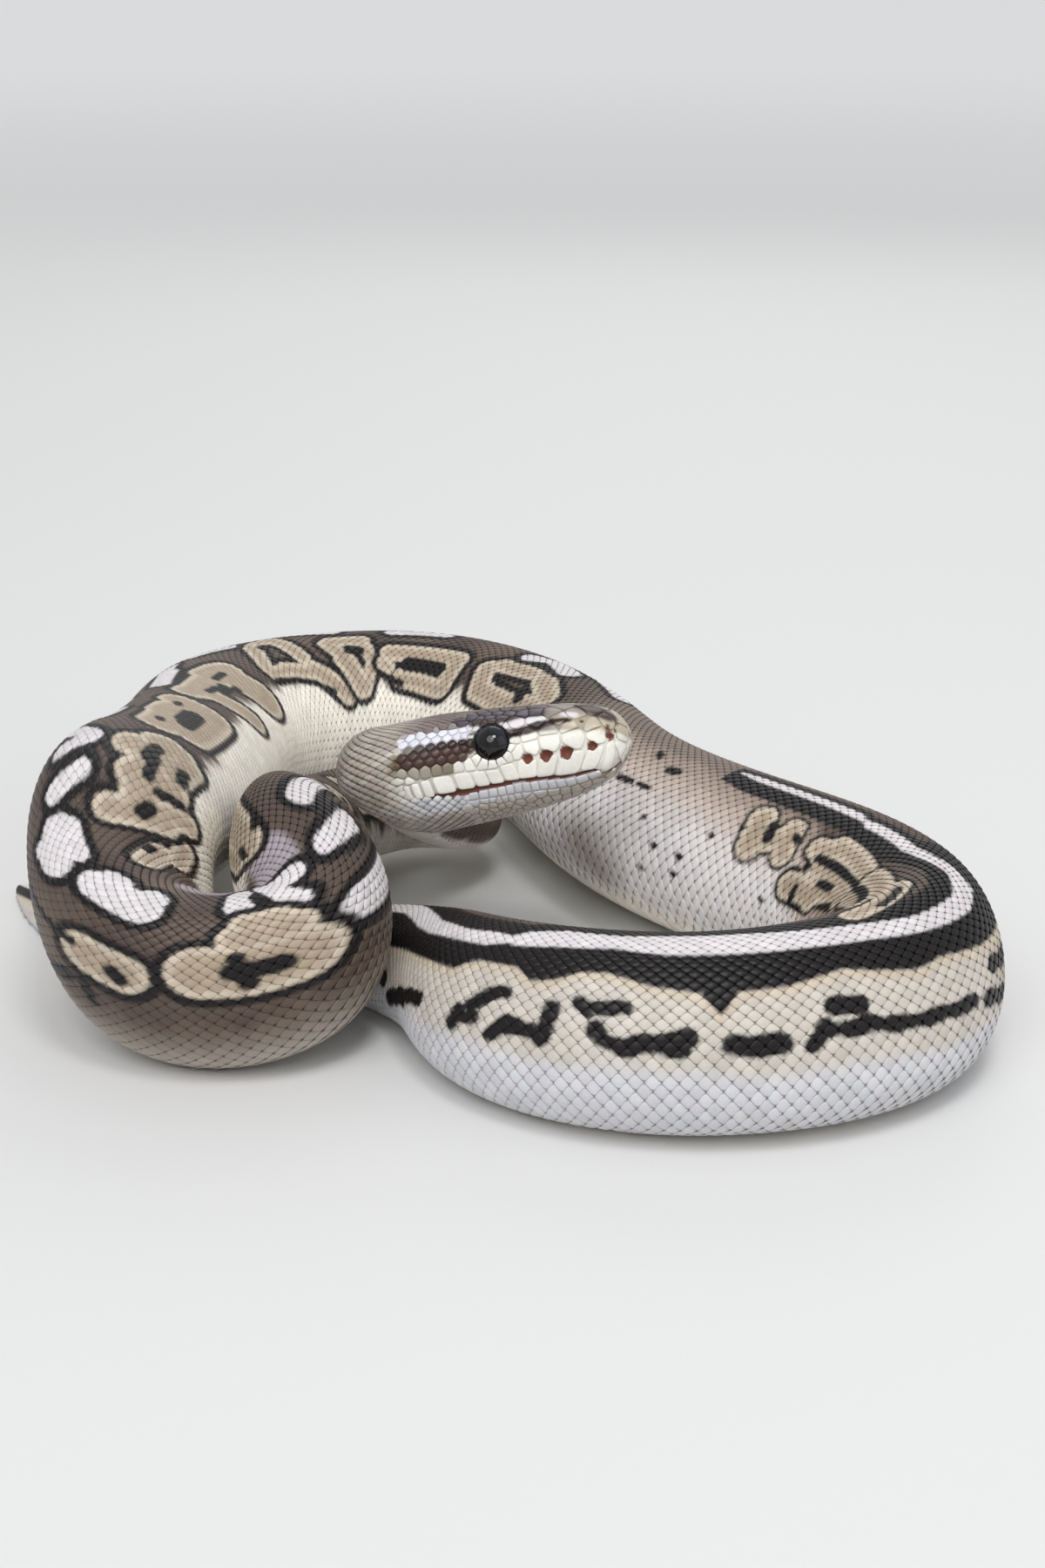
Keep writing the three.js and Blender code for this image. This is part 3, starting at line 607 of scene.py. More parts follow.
    def head(self, s: np.ndarray, angle: np.ndarray) -> np.ndarray:
        """The head's colour, the same on both sides.

        Args:
            s: places along the head in mm.
            angle: degrees from the crown, 0 to 180.

        Returns:
            Linear colours, a row for each place.
        """
        a = np.abs(angle)
        mix = mix_rows
        degree = self.body.degree(s)
        crown = mix(Tone.NAPE.rgb * 0.6, Tone.DARK.rgb, smooth(8, 11, s) * smooth(23, 18, s))
        crown = mix(crown, Tone.OLIVE.rgb, smooth(3.4, 1.6, s))
        crown = mix(crown, Tone.CROWN.rgb, smooth(17, 22, s))
        colour = mix(crown, Tone.NAPE.rgb, smooth(22, 30, s))
        side = mix(Tone.LABIAL.rgb * 0.93, Tone.NAPE.rgb, smooth(24, 28, s))
        colour = mix(colour, side, smooth(56, 62, a))
        for strokes, tone, soft in HEAD_MARKS:
            colour = mix(colour, tone.rgb, smooth(soft, -soft, nearest(strokes, s, a, degree)))
        throat = mix(Tone.SILVER.rgb, Tone.THROAT.rgb, smooth(120, 130, a))
        throat = mix(throat, Tone.NAPE.rgb, smooth(23, 30, s) * smooth(150, 118, a))
        colour = np.where(((a > Head.mouth(s)) & (s < 26))[:, None], throat, colour)
        return np.where(((a > 118) & (s >= 26))[:, None], throat, colour)

    def colour(self, s: np.ndarray, theta: np.ndarray) -> np.ndarray:
        """The colour anywhere on the animal.

        Args:
            s: places along the body in mm.
            theta: angle from the back.

        Returns:
            Linear colours, a row for each place.
        """
        theta = (theta + math.pi) % (2 * math.pi) - math.pi
        trunk = self.trunk(s, theta * self.body.girth(s))
        belly = smooth(*self.belly, np.degrees(np.abs(theta)))[:, None]
        trunk = trunk * (1 - belly) + Tone.CREAM.rgb * belly
        blend = smooth(*self.neck, s)[:, None]
        return self.head(s, np.degrees(theta)) * (1 - blend) + trunk * blend


@dataclass
class Head:
    """The head: where its eye, pits, lips and shields lie."""

    body: Body
    eye_at: float = 15.75
    eye_up: float = 2.55
    eye_side: float = 5.25
    eye_radius: float = 2.4
    reach: float = 34.0
    pits: tuple[tuple[float, float, float, float], ...] = (
        (1.85, 66, 0.36, 0.4), (3.8, 80, 0.55, 0.45), (6.8, 84.5, 0.72, 0.5), (9.25, 85.5, 0.68, 0.5),
        (11.45, 86.5, 0.56, 0.42), (5.0, 44, 0.20, 0.6),
    )  # s, degrees from the crown, radius and depth
    eye_spot: float = field(init=False, default=0.0)
    eye_angle: float = field(init=False, default=0.0)
    eye_shows: float = field(init=False, default=0.0)

    @staticmethod
    def mouth(s: np.ndarray) -> np.ndarray:
        """The mouth line's angle from the crown, in degrees, at s."""
        return np.interp(s, (0, 1.3, 4, 7, 10, 13, 15, 18, 21, 24),
                         (180, 150, 112, 110, 105.5, 104, 105, 106, 107, 108))

    @staticmethod
    def shields_end(angle: np.ndarray) -> np.ndarray:
        """Where along the head the shields give way to small scales, for each angle from the crown."""
        return np.interp(angle, (0, 36, 44, 91, 96, 107, 112, 180),
                         (19.6, 19.6, 26.0, 26.0, 25.6, 24.0, 19.0, 19.0))

    @staticmethod
    def upper_edge(s: np.ndarray) -> np.ndarray:
        """Where the upper lip's scales end above, in degrees from the crown."""
        return np.interp(s, (0.9, 1.8, 3, 5, 8, 11, 13, 15.5, 18, 20.5, 22.5, 25.6),
                         (92, 76, 79, 83, 85, 86.5, 88, 91, 91, 91, 91.5, 95))

    @staticmethod
    def lower_edge(s: np.ndarray) -> np.ndarray:
        """Where the lower lip's scales end below, in degrees from the crown."""
        return Head.mouth(s) + np.interp(s, (1.5, 5, 12, 19), (20, 19, 15, 10))

    def per_degree(self, s: np.ndarray | float, angle: np.ndarray | float) -> np.ndarray:
        """Millimetres of skin to one degree of the way round, at s and this angle from the crown."""
        s, angle = np.broadcast_arrays(np.asarray(s, float), np.asarray(angle, float))
        step = self.body.point(s, np.radians(angle + 1)) - self.body.point(s, np.radians(angle - 1))
        return 0.5 * np.linalg.norm(step, axis=-1)

    def rise(self, angle: np.ndarray, at: float, level: float) -> np.ndarray:
        """Millimetres round the skin from a level to other angles, in degrees, near a place."""
        return (angle - level) * float(self.per_degree(at, level)[0])

    def arcs(self, s: float, angle: float) -> tuple[np.ndarray, np.ndarray]:
        """Millimetres round the head from an angle in degrees, and the angles they lead to."""
        turned = angle + np.linspace(-45, 45, 91)
        p = self.surface(np.full(len(turned), s), np.radians(turned))
        arc = np.r_[0, np.cumsum(np.linalg.norm(np.diff(p, axis=0), axis=1))]
        return arc - arc[len(arc) // 2], turned

    def eye_centre(self, side: int) -> np.ndarray:
        """The middle of an eye in mm: side 1 is the left."""
        p, _, back, flank, _ = self.body.frames(np.array([self.eye_at]))
        centre = p[0] + back[0] * self.eye_up + flank[0] * self.eye_side * side
        return centre + SEAT

    def __post_init__(self) -> None:
        """Finds where the eyeball faces straight out of the skin, and how wide it shows."""
        s, theta = grid(np.linspace(14.6, 16.6, 41), np.radians(np.linspace(45, 80, 71)))
        lift, e, f = 0.15, 0.05, 0.01
        p = self.body.point(s, theta, lift)
        along = self.body.point(s + e, theta, lift) - self.body.point(s - e, theta, lift)
        across = self.body.point(s, theta + f, lift) - self.body.point(s, theta - f, lift)
        normal = np.cross(across, along)
        normal /= np.linalg.norm(normal, axis=1)[:, None]
        ray = p - self.eye_centre(1)
        reach = np.linalg.norm(ray, axis=1)
        best = int(np.argmax(np.abs(np.einsum("ij,ij->i", normal, ray)) / reach))
        self.eye_spot, self.eye_angle = float(s[best]), float(np.degrees(theta[best]))
        self.eye_shows = math.sqrt(max(self.eye_radius**2 - float(reach[best]) ** 2, 1.0))
        LOG.info("eye at %.2f, %.1f degrees, depth %.2f, showing %.2f", self.eye_spot, self.eye_angle,
                 float(reach[best]), self.eye_shows)

    def broad(self, s: np.ndarray, theta: np.ndarray) -> np.ndarray:
        """The head's broad forms, the brow, the canthus and the cheek, as a height in mm."""
        a = np.degrees(np.abs(theta))
        brow = 0.28 * np.exp(-((a - 40) / 9) ** 2) * smooth(10, 13, s) * smooth(20, 17, s)
        canthus = 0.16 * np.exp(-((a - 46) / 8) ** 2) * smooth(4, 7, s) * smooth(14, 11, s)
        hollow = -0.18 * np.exp(-((a - 66) / 10) ** 2 - ((s - 10.5) / 3.0) ** 2)
        cheek = 0.16 * np.exp(-((a - 84) / 18) ** 2 - ((s - 23) / 3.5) ** 2)
        off_eye = np.hypot(s - self.eye_spot, (a - self.eye_angle) * 0.12)
        lid = 0.26 * np.exp(-((off_eye - 2.5) / 0.6) ** 2)
        furrow = -0.12 * np.exp(-(a / 12) ** 2) * smooth(17, 21, s) * smooth(29, 25, s)
        return brow + canthus + hollow + cheek + furrow + lid

    def fine(self, s: np.ndarray, theta: np.ndarray) -> np.ndarray:
        """The skin's fine forms, the lips, pits, nostrils and chin groove, as a height in mm."""
        a = np.degrees(np.abs(theta))
        mm = self.body.degree(s)
        lip = -0.32 * np.exp(-((a - self.mouth(s)) * mm / 0.26) ** 2)
        lip = lip * smooth(1.2, 2.0, s) * smooth(24.5, 22.5, s)
        chin = -0.22 * np.exp(-((180 - a) * mm / 0.3) ** 2) * smooth(2.4, 3.5, s) * smooth(16, 13, s)
        out = lip + chin
        for at, angle, radius, deep in self.pits:
            out = out - deep * np.exp(-((s - at) ** 2 + self.rise(a, at, angle) ** 2) / radius**2)
        fold = 0.07 * np.sin(2.4 * s + 1.5 * np.sin(3 * theta)) * smooth(26, 29, s) * smooth(40, 34, s)
        return out + fold * smooth(150, 120, a)

    def surface(self, s: np.ndarray, theta: np.ndarray, lift: np.ndarray | float = 0.0) -> np.ndarray:
        """Points of the skin with the head's broad forms, in mm."""
        s, theta = np.broadcast_arrays(np.asarray(s, float), np.asarray(theta, float))
        return self.body.point(s, theta, lift + self.broad(s, theta))


def new_mesh(name: str, points: np.ndarray, faces: Sequence[Sequence[int]]) -> bpy.types.Mesh:
    """A mesh from points in mm and faces.

    Args:
        name: its name.
        points: vertices in mm.
        faces: lists of vertex numbers.

    Returns:
        The mesh, in metres.
    """
    mesh = bpy.data.meshes.new(name)
    mesh.from_pydata((np.asarray(points) * MM).tolist(), [], [tuple(f) for f in faces])
    mesh.validate()
    mesh.update()
    return mesh


def paint(mesh: bpy.types.Mesh, name: str, kind: str, values: np.ndarray) -> None:
    """Stores a value for each vertex under a name.

    Args:
        mesh: the mesh.
        name: the attribute's name.
        kind: the attribute's type.
        values: an array with a row for each vertex.
    """
    attribute = mesh.attributes.new(name, kind, "POINT")
    slots = {"FLOAT": "value", "FLOAT_VECTOR": "vector", "FLOAT_COLOR": "color", "QUATERNION": "value"}
    if kind == "FLOAT_COLOR" and values.shape[1] == 3:
        values = np.hstack([values, np.ones((len(values), 1))])
    attribute.data.foreach_set(slots[kind], np.ascontiguousarray(values, dtype=np.float32).ravel())


def corners(mesh: bpy.types.Mesh) -> np.ndarray:
    """The vertex number of each face corner."""
    loops = np.empty(len(mesh.loops), int)
    mesh.loops.foreach_get("vertex_index", loops)
    return loops


def add_map(mesh: bpy.types.Mesh, uv: np.ndarray) -> None:
    """Gives a mesh its bake map from a place for each face corner."""
    layer = mesh.uv_layers.new(name="OFBake")
    layer.data.foreach_set("uv", np.ascontiguousarray(uv, dtype=np.float32).ravel())


def stand(name: str, data: Any, place: Sequence[float] = (0, 0, 0)) -> bpy.types.Object:
    """Stands a mesh, a light or a camera in the scene."""
    thing = bpy.data.objects.new(name, data)
    thing.location = place
    bpy.context.scene.collection.objects.link(thing)
    return thing


def add_object(mesh: bpy.types.Mesh, material: bpy.types.Material) -> bpy.types.Object:
    """Shows a mesh as a smooth-shaded piece on the root body.

    Args:
        mesh: its mesh, whose name it takes.
        material: its finish.

    Returns:
        The piece.
    """
    mesh.materials.clear()
    mesh.materials.append(material)
    mesh.shade_smooth()
    piece = stand(mesh.name, mesh)
    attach(piece, "root")
    LOG.info("%s: %d vertices, %d faces", piece.name, len(mesh.vertices), len(mesh.polygons))
    return piece


class Value:
    """A shader socket that takes part in sums."""

    def __init__(self, tree: "Shader", socket: bpy.types.NodeSocket) -> None:
        """Wraps a socket of a tree."""
        self.tree = tree
        self.socket = socket

    def _math(self, operation: str, a: Any, b: Any = None) -> "Value":
        """A Math node on one or two values."""
        inputs = {0: a} if b is None else {0: a, 1: b}
        return self.tree.add("ShaderNodeMath", {"operation": operation}, inputs)[0]

    def __add__(self, other: Any) -> "Value":
        """Sum."""
        return self._math("ADD", self, other)

    def __mul__(self, other: Any) -> "Value":
        """Product."""
        return self._math("MULTIPLY", self, other)

    def power(self, exponent: float) -> "Value":
        """Raised to a power."""
        return self._math("POWER", self, exponent)

    def absolute(self) -> "Value":
        """Without its sign."""
        return self._math("ABSOLUTE", self)

    def ramp(self, low: float, high: float, start: float = 0.0, end: float = 1.0) -> "Value":
        """Mapped smoothly from a range to a range."""
        return self.tree.add("ShaderNodeMapRange", {"interpolation_type": "SMOOTHSTEP"},
                             {"Value": self, "From Min": low, "From Max": high,
                              "To Min": start, "To Max": end})[0]


class Shader:
    """A material's node tree, written as expressions."""

    def __init__(self, name: str) -> None:
        """Starts an empty material."""
        self.material = bpy.data.materials.new(name)
        self.material.use_nodes = True
        self.nodes = self.material.node_tree.nodes
        self.links = self.material.node_tree.links
        self.nodes.clear()

    def add(self, kind: str, settings: dict[str, Any], inputs: dict[Any, Any]) -> list[Value]:
        """Adds a node.

        Args:
            kind: the node's type.
            settings: its properties, set first.
            inputs: its sockets by name or number, as values, colours or links.

        Returns:
            Its visible outputs.
        """
        node = self.nodes.new(kind)
        for key, value in settings.items():
            setattr(node, key, value)
        for key, value in inputs.items():
            if isinstance(value, Value):
                self.links.new(value.socket, node.inputs[key])
            else:
                node.inputs[key].default_value = value
        return [Value(self, out) for out in node.outputs if out.enabled]

    def attribute(self, name: str, output: str = "Color") -> Value:
        """A stored attribute of the mesh."""
        node = self.nodes.new("ShaderNodeAttribute")
        node.attribute_name = name
        return Value(self, node.outputs[output])

    def noise(self, scale: float, detail: float = 2.0) -> Value:
        """Noise on the object's own coordinates."""
        return self.add("ShaderNodeTexNoise", {},
                        {"Vector": self.place(), "Scale": scale, "Detail": detail})[0]

    def place(self) -> Value:
        """The object's own coordinates."""
        return Value(self, self.nodes.new("ShaderNodeTexCoord").outputs["Object"])

    def grey(self, value: Value) -> Value:
        """A number as a grey."""
        return self.add("ShaderNodeCombineColor", {}, {0: value, 1: value, 2: value})[0]

    def bump(self, height: Value, strength: float, distance: float) -> Value:
        """The normal over a fine relief."""
        return self.add("ShaderNodeBump", {},
                        {"Strength": strength, "Distance": distance, "Height": height})[0]

    def blend(self, factor: Any, a: Any, b: Any, mode: str = "MIX") -> Value:
        """Two colours mixed."""
        return self.add("ShaderNodeMix", {"data_type": "RGBA", "blend_type": mode},
                        {0: factor, 6: a, 7: b})[0]

    def finish(self, colour: Any, roughness: Any, normal: Value | None, **fixed: Any) -> bpy.types.Material:
        """Closes the material with one Principled shader.

        Args:
            colour: base colour.
            roughness: a value or link.
            normal: the bumped normal, if any.
            fixed: other sockets by name with underscores.

        Returns:
            The material.
        """
        inputs: dict[str, Any] = {"Base Color": colour, "Roughness": roughness}
        if normal is not None:
            inputs["Normal"] = normal
        inputs.update({key.replace("_", " "): value for key, value in fixed.items()})
        shader = self.add("ShaderNodeBsdfPrincipled", {}, inputs)[0]
        self.add("ShaderNodeOutputMaterial", {}, {"Surface": shader})
        return self.material


@dataclass(frozen=True)
class ScaleFinish:
    """The finish of keratin scales."""

    name: str
    edge: float = 0.42
    gloss: float = 0.40
    grain: float = 0.10

    def material(self) -> bpy.types.Material:
        """Marking colours, darker at each rim, with a fine grain and a satin sheen."""
        sh = Shader(self.name)
        marking = sh.attribute("marking")
        rim = sh.attribute("rim", "Fac")
        fine = sh.noise(2600.0, 3.0)
        broad = sh.noise(330.0, 2.0)
        tint = (broad * 0.22 + 0.89) * (fine * 0.14 + 0.93)
        body = sh.blend(1.0, marking, sh.grey(tint), "MULTIPLY")
        rim_darkened = sh.blend(1.0, body, (0.42, 0.34, 0.29, 1), "MULTIPLY")
        colour = sh.blend(rim.power(3.5) * self.edge, body, rim_darkened)
        rough = fine * 0.16 + (self.gloss - 0.08) + rim * 0.12
        return sh.finish(colour, rough, sh.bump(fine, self.grain, 0.06 * MM), Specular_IOR_Level=0.32)


@dataclass(frozen=True)
class SkinFinish:
    """The finish of the soft skin between the scales."""

    name: str = "skin_between_scales"

    def material(self) -> bpy.types.Material:
        """Marking colours on fine wrinkled skin."""
        sh = Shader(self.name)
        marking = sh.attribute("marking")
        fine = sh.noise(4200.0, 3.0)
        broad = sh.noise(500.0, 2.0)
        tint = broad * 0.3 + 0.85
        colour = sh.blend(1.0, marking, sh.grey(tint), "MULTIPLY")
        return sh.finish(colour, fine * 0.2 + 0.42, sh.bump(fine, 0.25, 0.08 * MM), Specular_IOR_Level=0.32)


@dataclass(frozen=True)
class EyeFinish:
    """The finish of a dark wet eye with a slit pupil."""

    name: str = "eye_dark_gloss"

    def material(self) -> bpy.types.Material:
        """A near-black iris, a darker slit and a soft grey ring at the rim, smooth and glossy."""
        sh = Shader(self.name)
        gaze = sh.attribute("gaze", "Vector")
        fore, up, _ = sh.add("ShaderNodeSeparateXYZ", {}, {0: gaze})
        ring = (fore * fore + up * up).power(0.5)
        streak = sh.noise(1500.0, 4.0)
        iris = sh.blend(streak.ramp(0.35, 0.7), (0.003, 0.003, 0.003, 1), (0.008, 0.007, 0.007, 1))
        grey = sh.blend(ring.ramp(0.60, 0.80), iris, (0.010, 0.012, 0.018, 1))
        slit = (fore.absolute() + up.absolute() * up.absolute() * 0.12).ramp(0.085, 0.14)
        colour = sh.blend(slit, (0.001, 0.001, 0.001, 1), grey)
        return sh.finish(colour, streak * 0.02 + 0.02, None, IOR=1.5)


@dataclass
class Skin:
    """The one unbroken skin from the snout to the tail's tip."""

    head: Head
    markings: Markings
    columns: int = 168
    step: float = 1.2
    head_step: float = 0.2
    head_end: float = 30.0
    between: float = 0.80
    between_nape: float = 0.28
    between_pale: float = 0.10
    map_margin: float = 0.004

    def stations(self) -> np.ndarray:
        """The rings' places along the body in mm."""
        length = self.head.body.length
        tip = SKIN_DEPTH + 2.6 * np.linspace(0.0, 1.0, 14)[1:] ** 2
        head = np.arange(tip[-1] + self.head_step, self.head_end, self.head_step)
        rest = np.linspace(self.head_end, length - 0.3, int((length - self.head_end) / self.step))
        return np.concatenate([tip, head, rest])

    def build(self, material: bpy.types.Material) -> bpy.types.Object:
        """Makes the skin with its colours and its map.

        Args:
            material: its finish.

        Returns:
            The piece.
        """
        stations = self.stations()
        n, m = len(stations), self.columns
        angles = np.linspace(-math.pi, math.pi, m, endpoint=False)
        s, theta = grid(stations, angles)
        lift = self.head.broad(s, theta) + self.head.fine(s, theta)
        points = self.head.body.point(s, theta, lift)
        ends = np.stack([points[:m].mean(0), points[-m:].mean(0)])
        points = np.vstack([points, ends])
        ring = np.arange(m)
        after = (ring + 1) % m
        first = np.stack([np.full(m, n * m), after, ring], 1)
        last = np.stack([np.full(m, n * m + 1), (n - 1) * m + ring, (n - 1) * m + after], 1)
        faces = tube_faces(n, m).tolist() + first.tolist() + last.tolist()
        mesh = new_mesh("skin", points, faces)
        colour = self.markings.colour(s, theta)
        between = self.between - self.between_nape * smooth(19, 21, s) * smooth(60, 45, s)
        between = between + self.between_pale * smooth(0.5, 0.8, colour.mean(axis=1))
        colour = colour * between[:, None]
        colour = self._soft_parts(s, theta, colour)
        colour = np.vstack([colour, colour[:m].mean(0), colour[-m:].mean(0)])
        paint(mesh, "marking", "FLOAT_COLOR", colour)
        self._map(mesh, stations, m)
        skin = add_object(mesh, material)
        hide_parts(*FLESH_NODES)
        return skin

    def _soft_parts(self, s: np.ndarray, theta: np.ndarray, colour: np.ndarray) -> np.ndarray:
        """The bare skin's colours: reddish pits and lips, and painted shade, black, in the nostrils and in
        the gap round the eye.
        """
        a = np.degrees(np.abs(theta))
        for at, angle, radius, _ in self.head.pits:
            # the nostril, the one hole nearer the crown than 60 degrees, is painted black as painted shade in
            # its hole; the lip pits keep their own reddish colour
            dark = Tone.BLACK if angle < 60 else Tone.PIT
            inside = np.hypot(s - at, self.head.rise(a, at, angle)) < radius * 1.2
            colour = np.where(inside[:, None], dark.rgb, colour)
        half = np.interp(s, (1.2, 12, 17, 20, 22.5, 23.6), (0.3, 0.3, 0.38, 0.62, 0.62, 0.1))
        off_lip = np.abs((a - Head.mouth(s)) * self.head.body.degree(s))
        lip = (off_lip < half) & (s > 1.2) & (s < 23.6)
        colour = np.where(lip[:, None], Tone.REDDISH.rgb, colour)
        # painted shade: the skin round the eyeball, in the gap before its ring of scales, is painted black
        rise = self.head.rise(a, self.head.eye_spot, self.head.eye_angle)
        eye = np.hypot(s - self.head.eye_spot, rise) < self.head.eye_shows + 0.3
        return np.where(eye[:, None], Tone.BLACK.rgb, colour)

    def _map(self, mesh: bpy.types.Mesh, stations: np.ndarray, m: int) -> None:
        """The skin's bake map: along the body across, round it up."""
        loops = corners(mesh)
        n = len(stations)
        row = np.minimum(loops // m, n - 1)
        ends = np.where(loops == n * m, 0.0, 1.0)
        u = np.where(loops < n * m, stations[row] / self.head.body.length, ends)
        v = (loops % m) / m
        starts = np.empty(len(mesh.polygons), int)
        mesh.polygons.foreach_get("loop_start", starts)
        totals = np.empty(len(mesh.polygons), int)
        mesh.polygons.foreach_get("loop_total", totals)
        owner = np.repeat(np.arange(len(starts)), totals)
        top = np.zeros(len(starts))
        np.maximum.at(top, owner, np.where(loops < n * m, v, 0))
        v = np.where((top[owner] > 0.9) & (v < 0.1) & (loops < n * m), 1.0, v)
        v = np.where(loops >= n * m, top[owner] - 0.5 / m, v)
        add_map(mesh, on_map(np.stack([u, v], 1), self.map_margin))


def frames_on(head: Head, s: np.ndarray, theta: np.ndarray) -> tuple[np.ndarray, ...]:
    """The skin's place and directions.

    Args:
        head: the shape to stand on.
        s: places along the body in mm.
        theta: angle from the back.

    Returns:
        Point, outward normal, direction towards the tail, direction across, and how much a millimetre of
        spine stretches there.
    """
    e, f = 0.05, 0.01
    p = head.surface(s, theta)
    along = (head.surface(s + e, theta) - head.surface(s - e, theta)) / (2 * e)
    across = (head.surface(s, theta + f) - head.surface(s, theta - f)) / (2 * f)
    normal = np.cross(across, along)
    normal /= np.maximum(np.linalg.norm(normal, axis=1), TINY)[:, None]
    flip = np.sign(np.einsum("ij,ij->i", normal, p - (head.body.frames(s)[0] + SEAT)))
    normal *= np.where(flip == 0, 1, flip)[:, None]
    stretch = np.linalg.norm(along, axis=1)
    tail = along / np.maximum(stretch, TINY)[:, None]
    side = np.cross(normal, tail)
    return p, normal, tail, side, stretch


def quaternions(x: np.ndarray, y: np.ndarray, z: np.ndarray) -> np.ndarray:
    """Rotations, as w x y z rows, that turn the axes to x, y and z."""
    m = np.stack([x, y, z], 2)
    signs = ((1, 1, 1), (1, -1, -1), (-1, 1, -1), (-1, -1, 1))
    q = np.stack([np.sqrt(np.maximum(0, 1 + a * m[:, 0, 0] + b * m[:, 1, 1] + c * m[:, 2, 2])) / 2
                  for a, b, c in signs], 1)
    best = np.argmax(q, 1)
    r = np.arange(len(q))
    w, a, b, c = q.T
    d21, d02, d10 = m[:, 2, 1] - m[:, 1, 2], m[:, 0, 2] - m[:, 2, 0], m[:, 1, 0] - m[:, 0, 1]
    s10, s20, s21 = m[:, 1, 0] + m[:, 0, 1], m[:, 2, 0] + m[:, 0, 2], m[:, 2, 1] + m[:, 1, 2]
    rows = np.stack([np.stack([4 * w * w, d21, d02, d10], 1), np.stack([d21, 4 * a * a, s10, s20], 1),
                     np.stack([d02, s10, 4 * b * b, s21], 1), np.stack([d10, s20, s21, 4 * c * c], 1)], 1)
    out = rows[r, best] / (4 * q[r, best])[:, None]
    return out / np.linalg.norm(out, axis=1)[:, None]


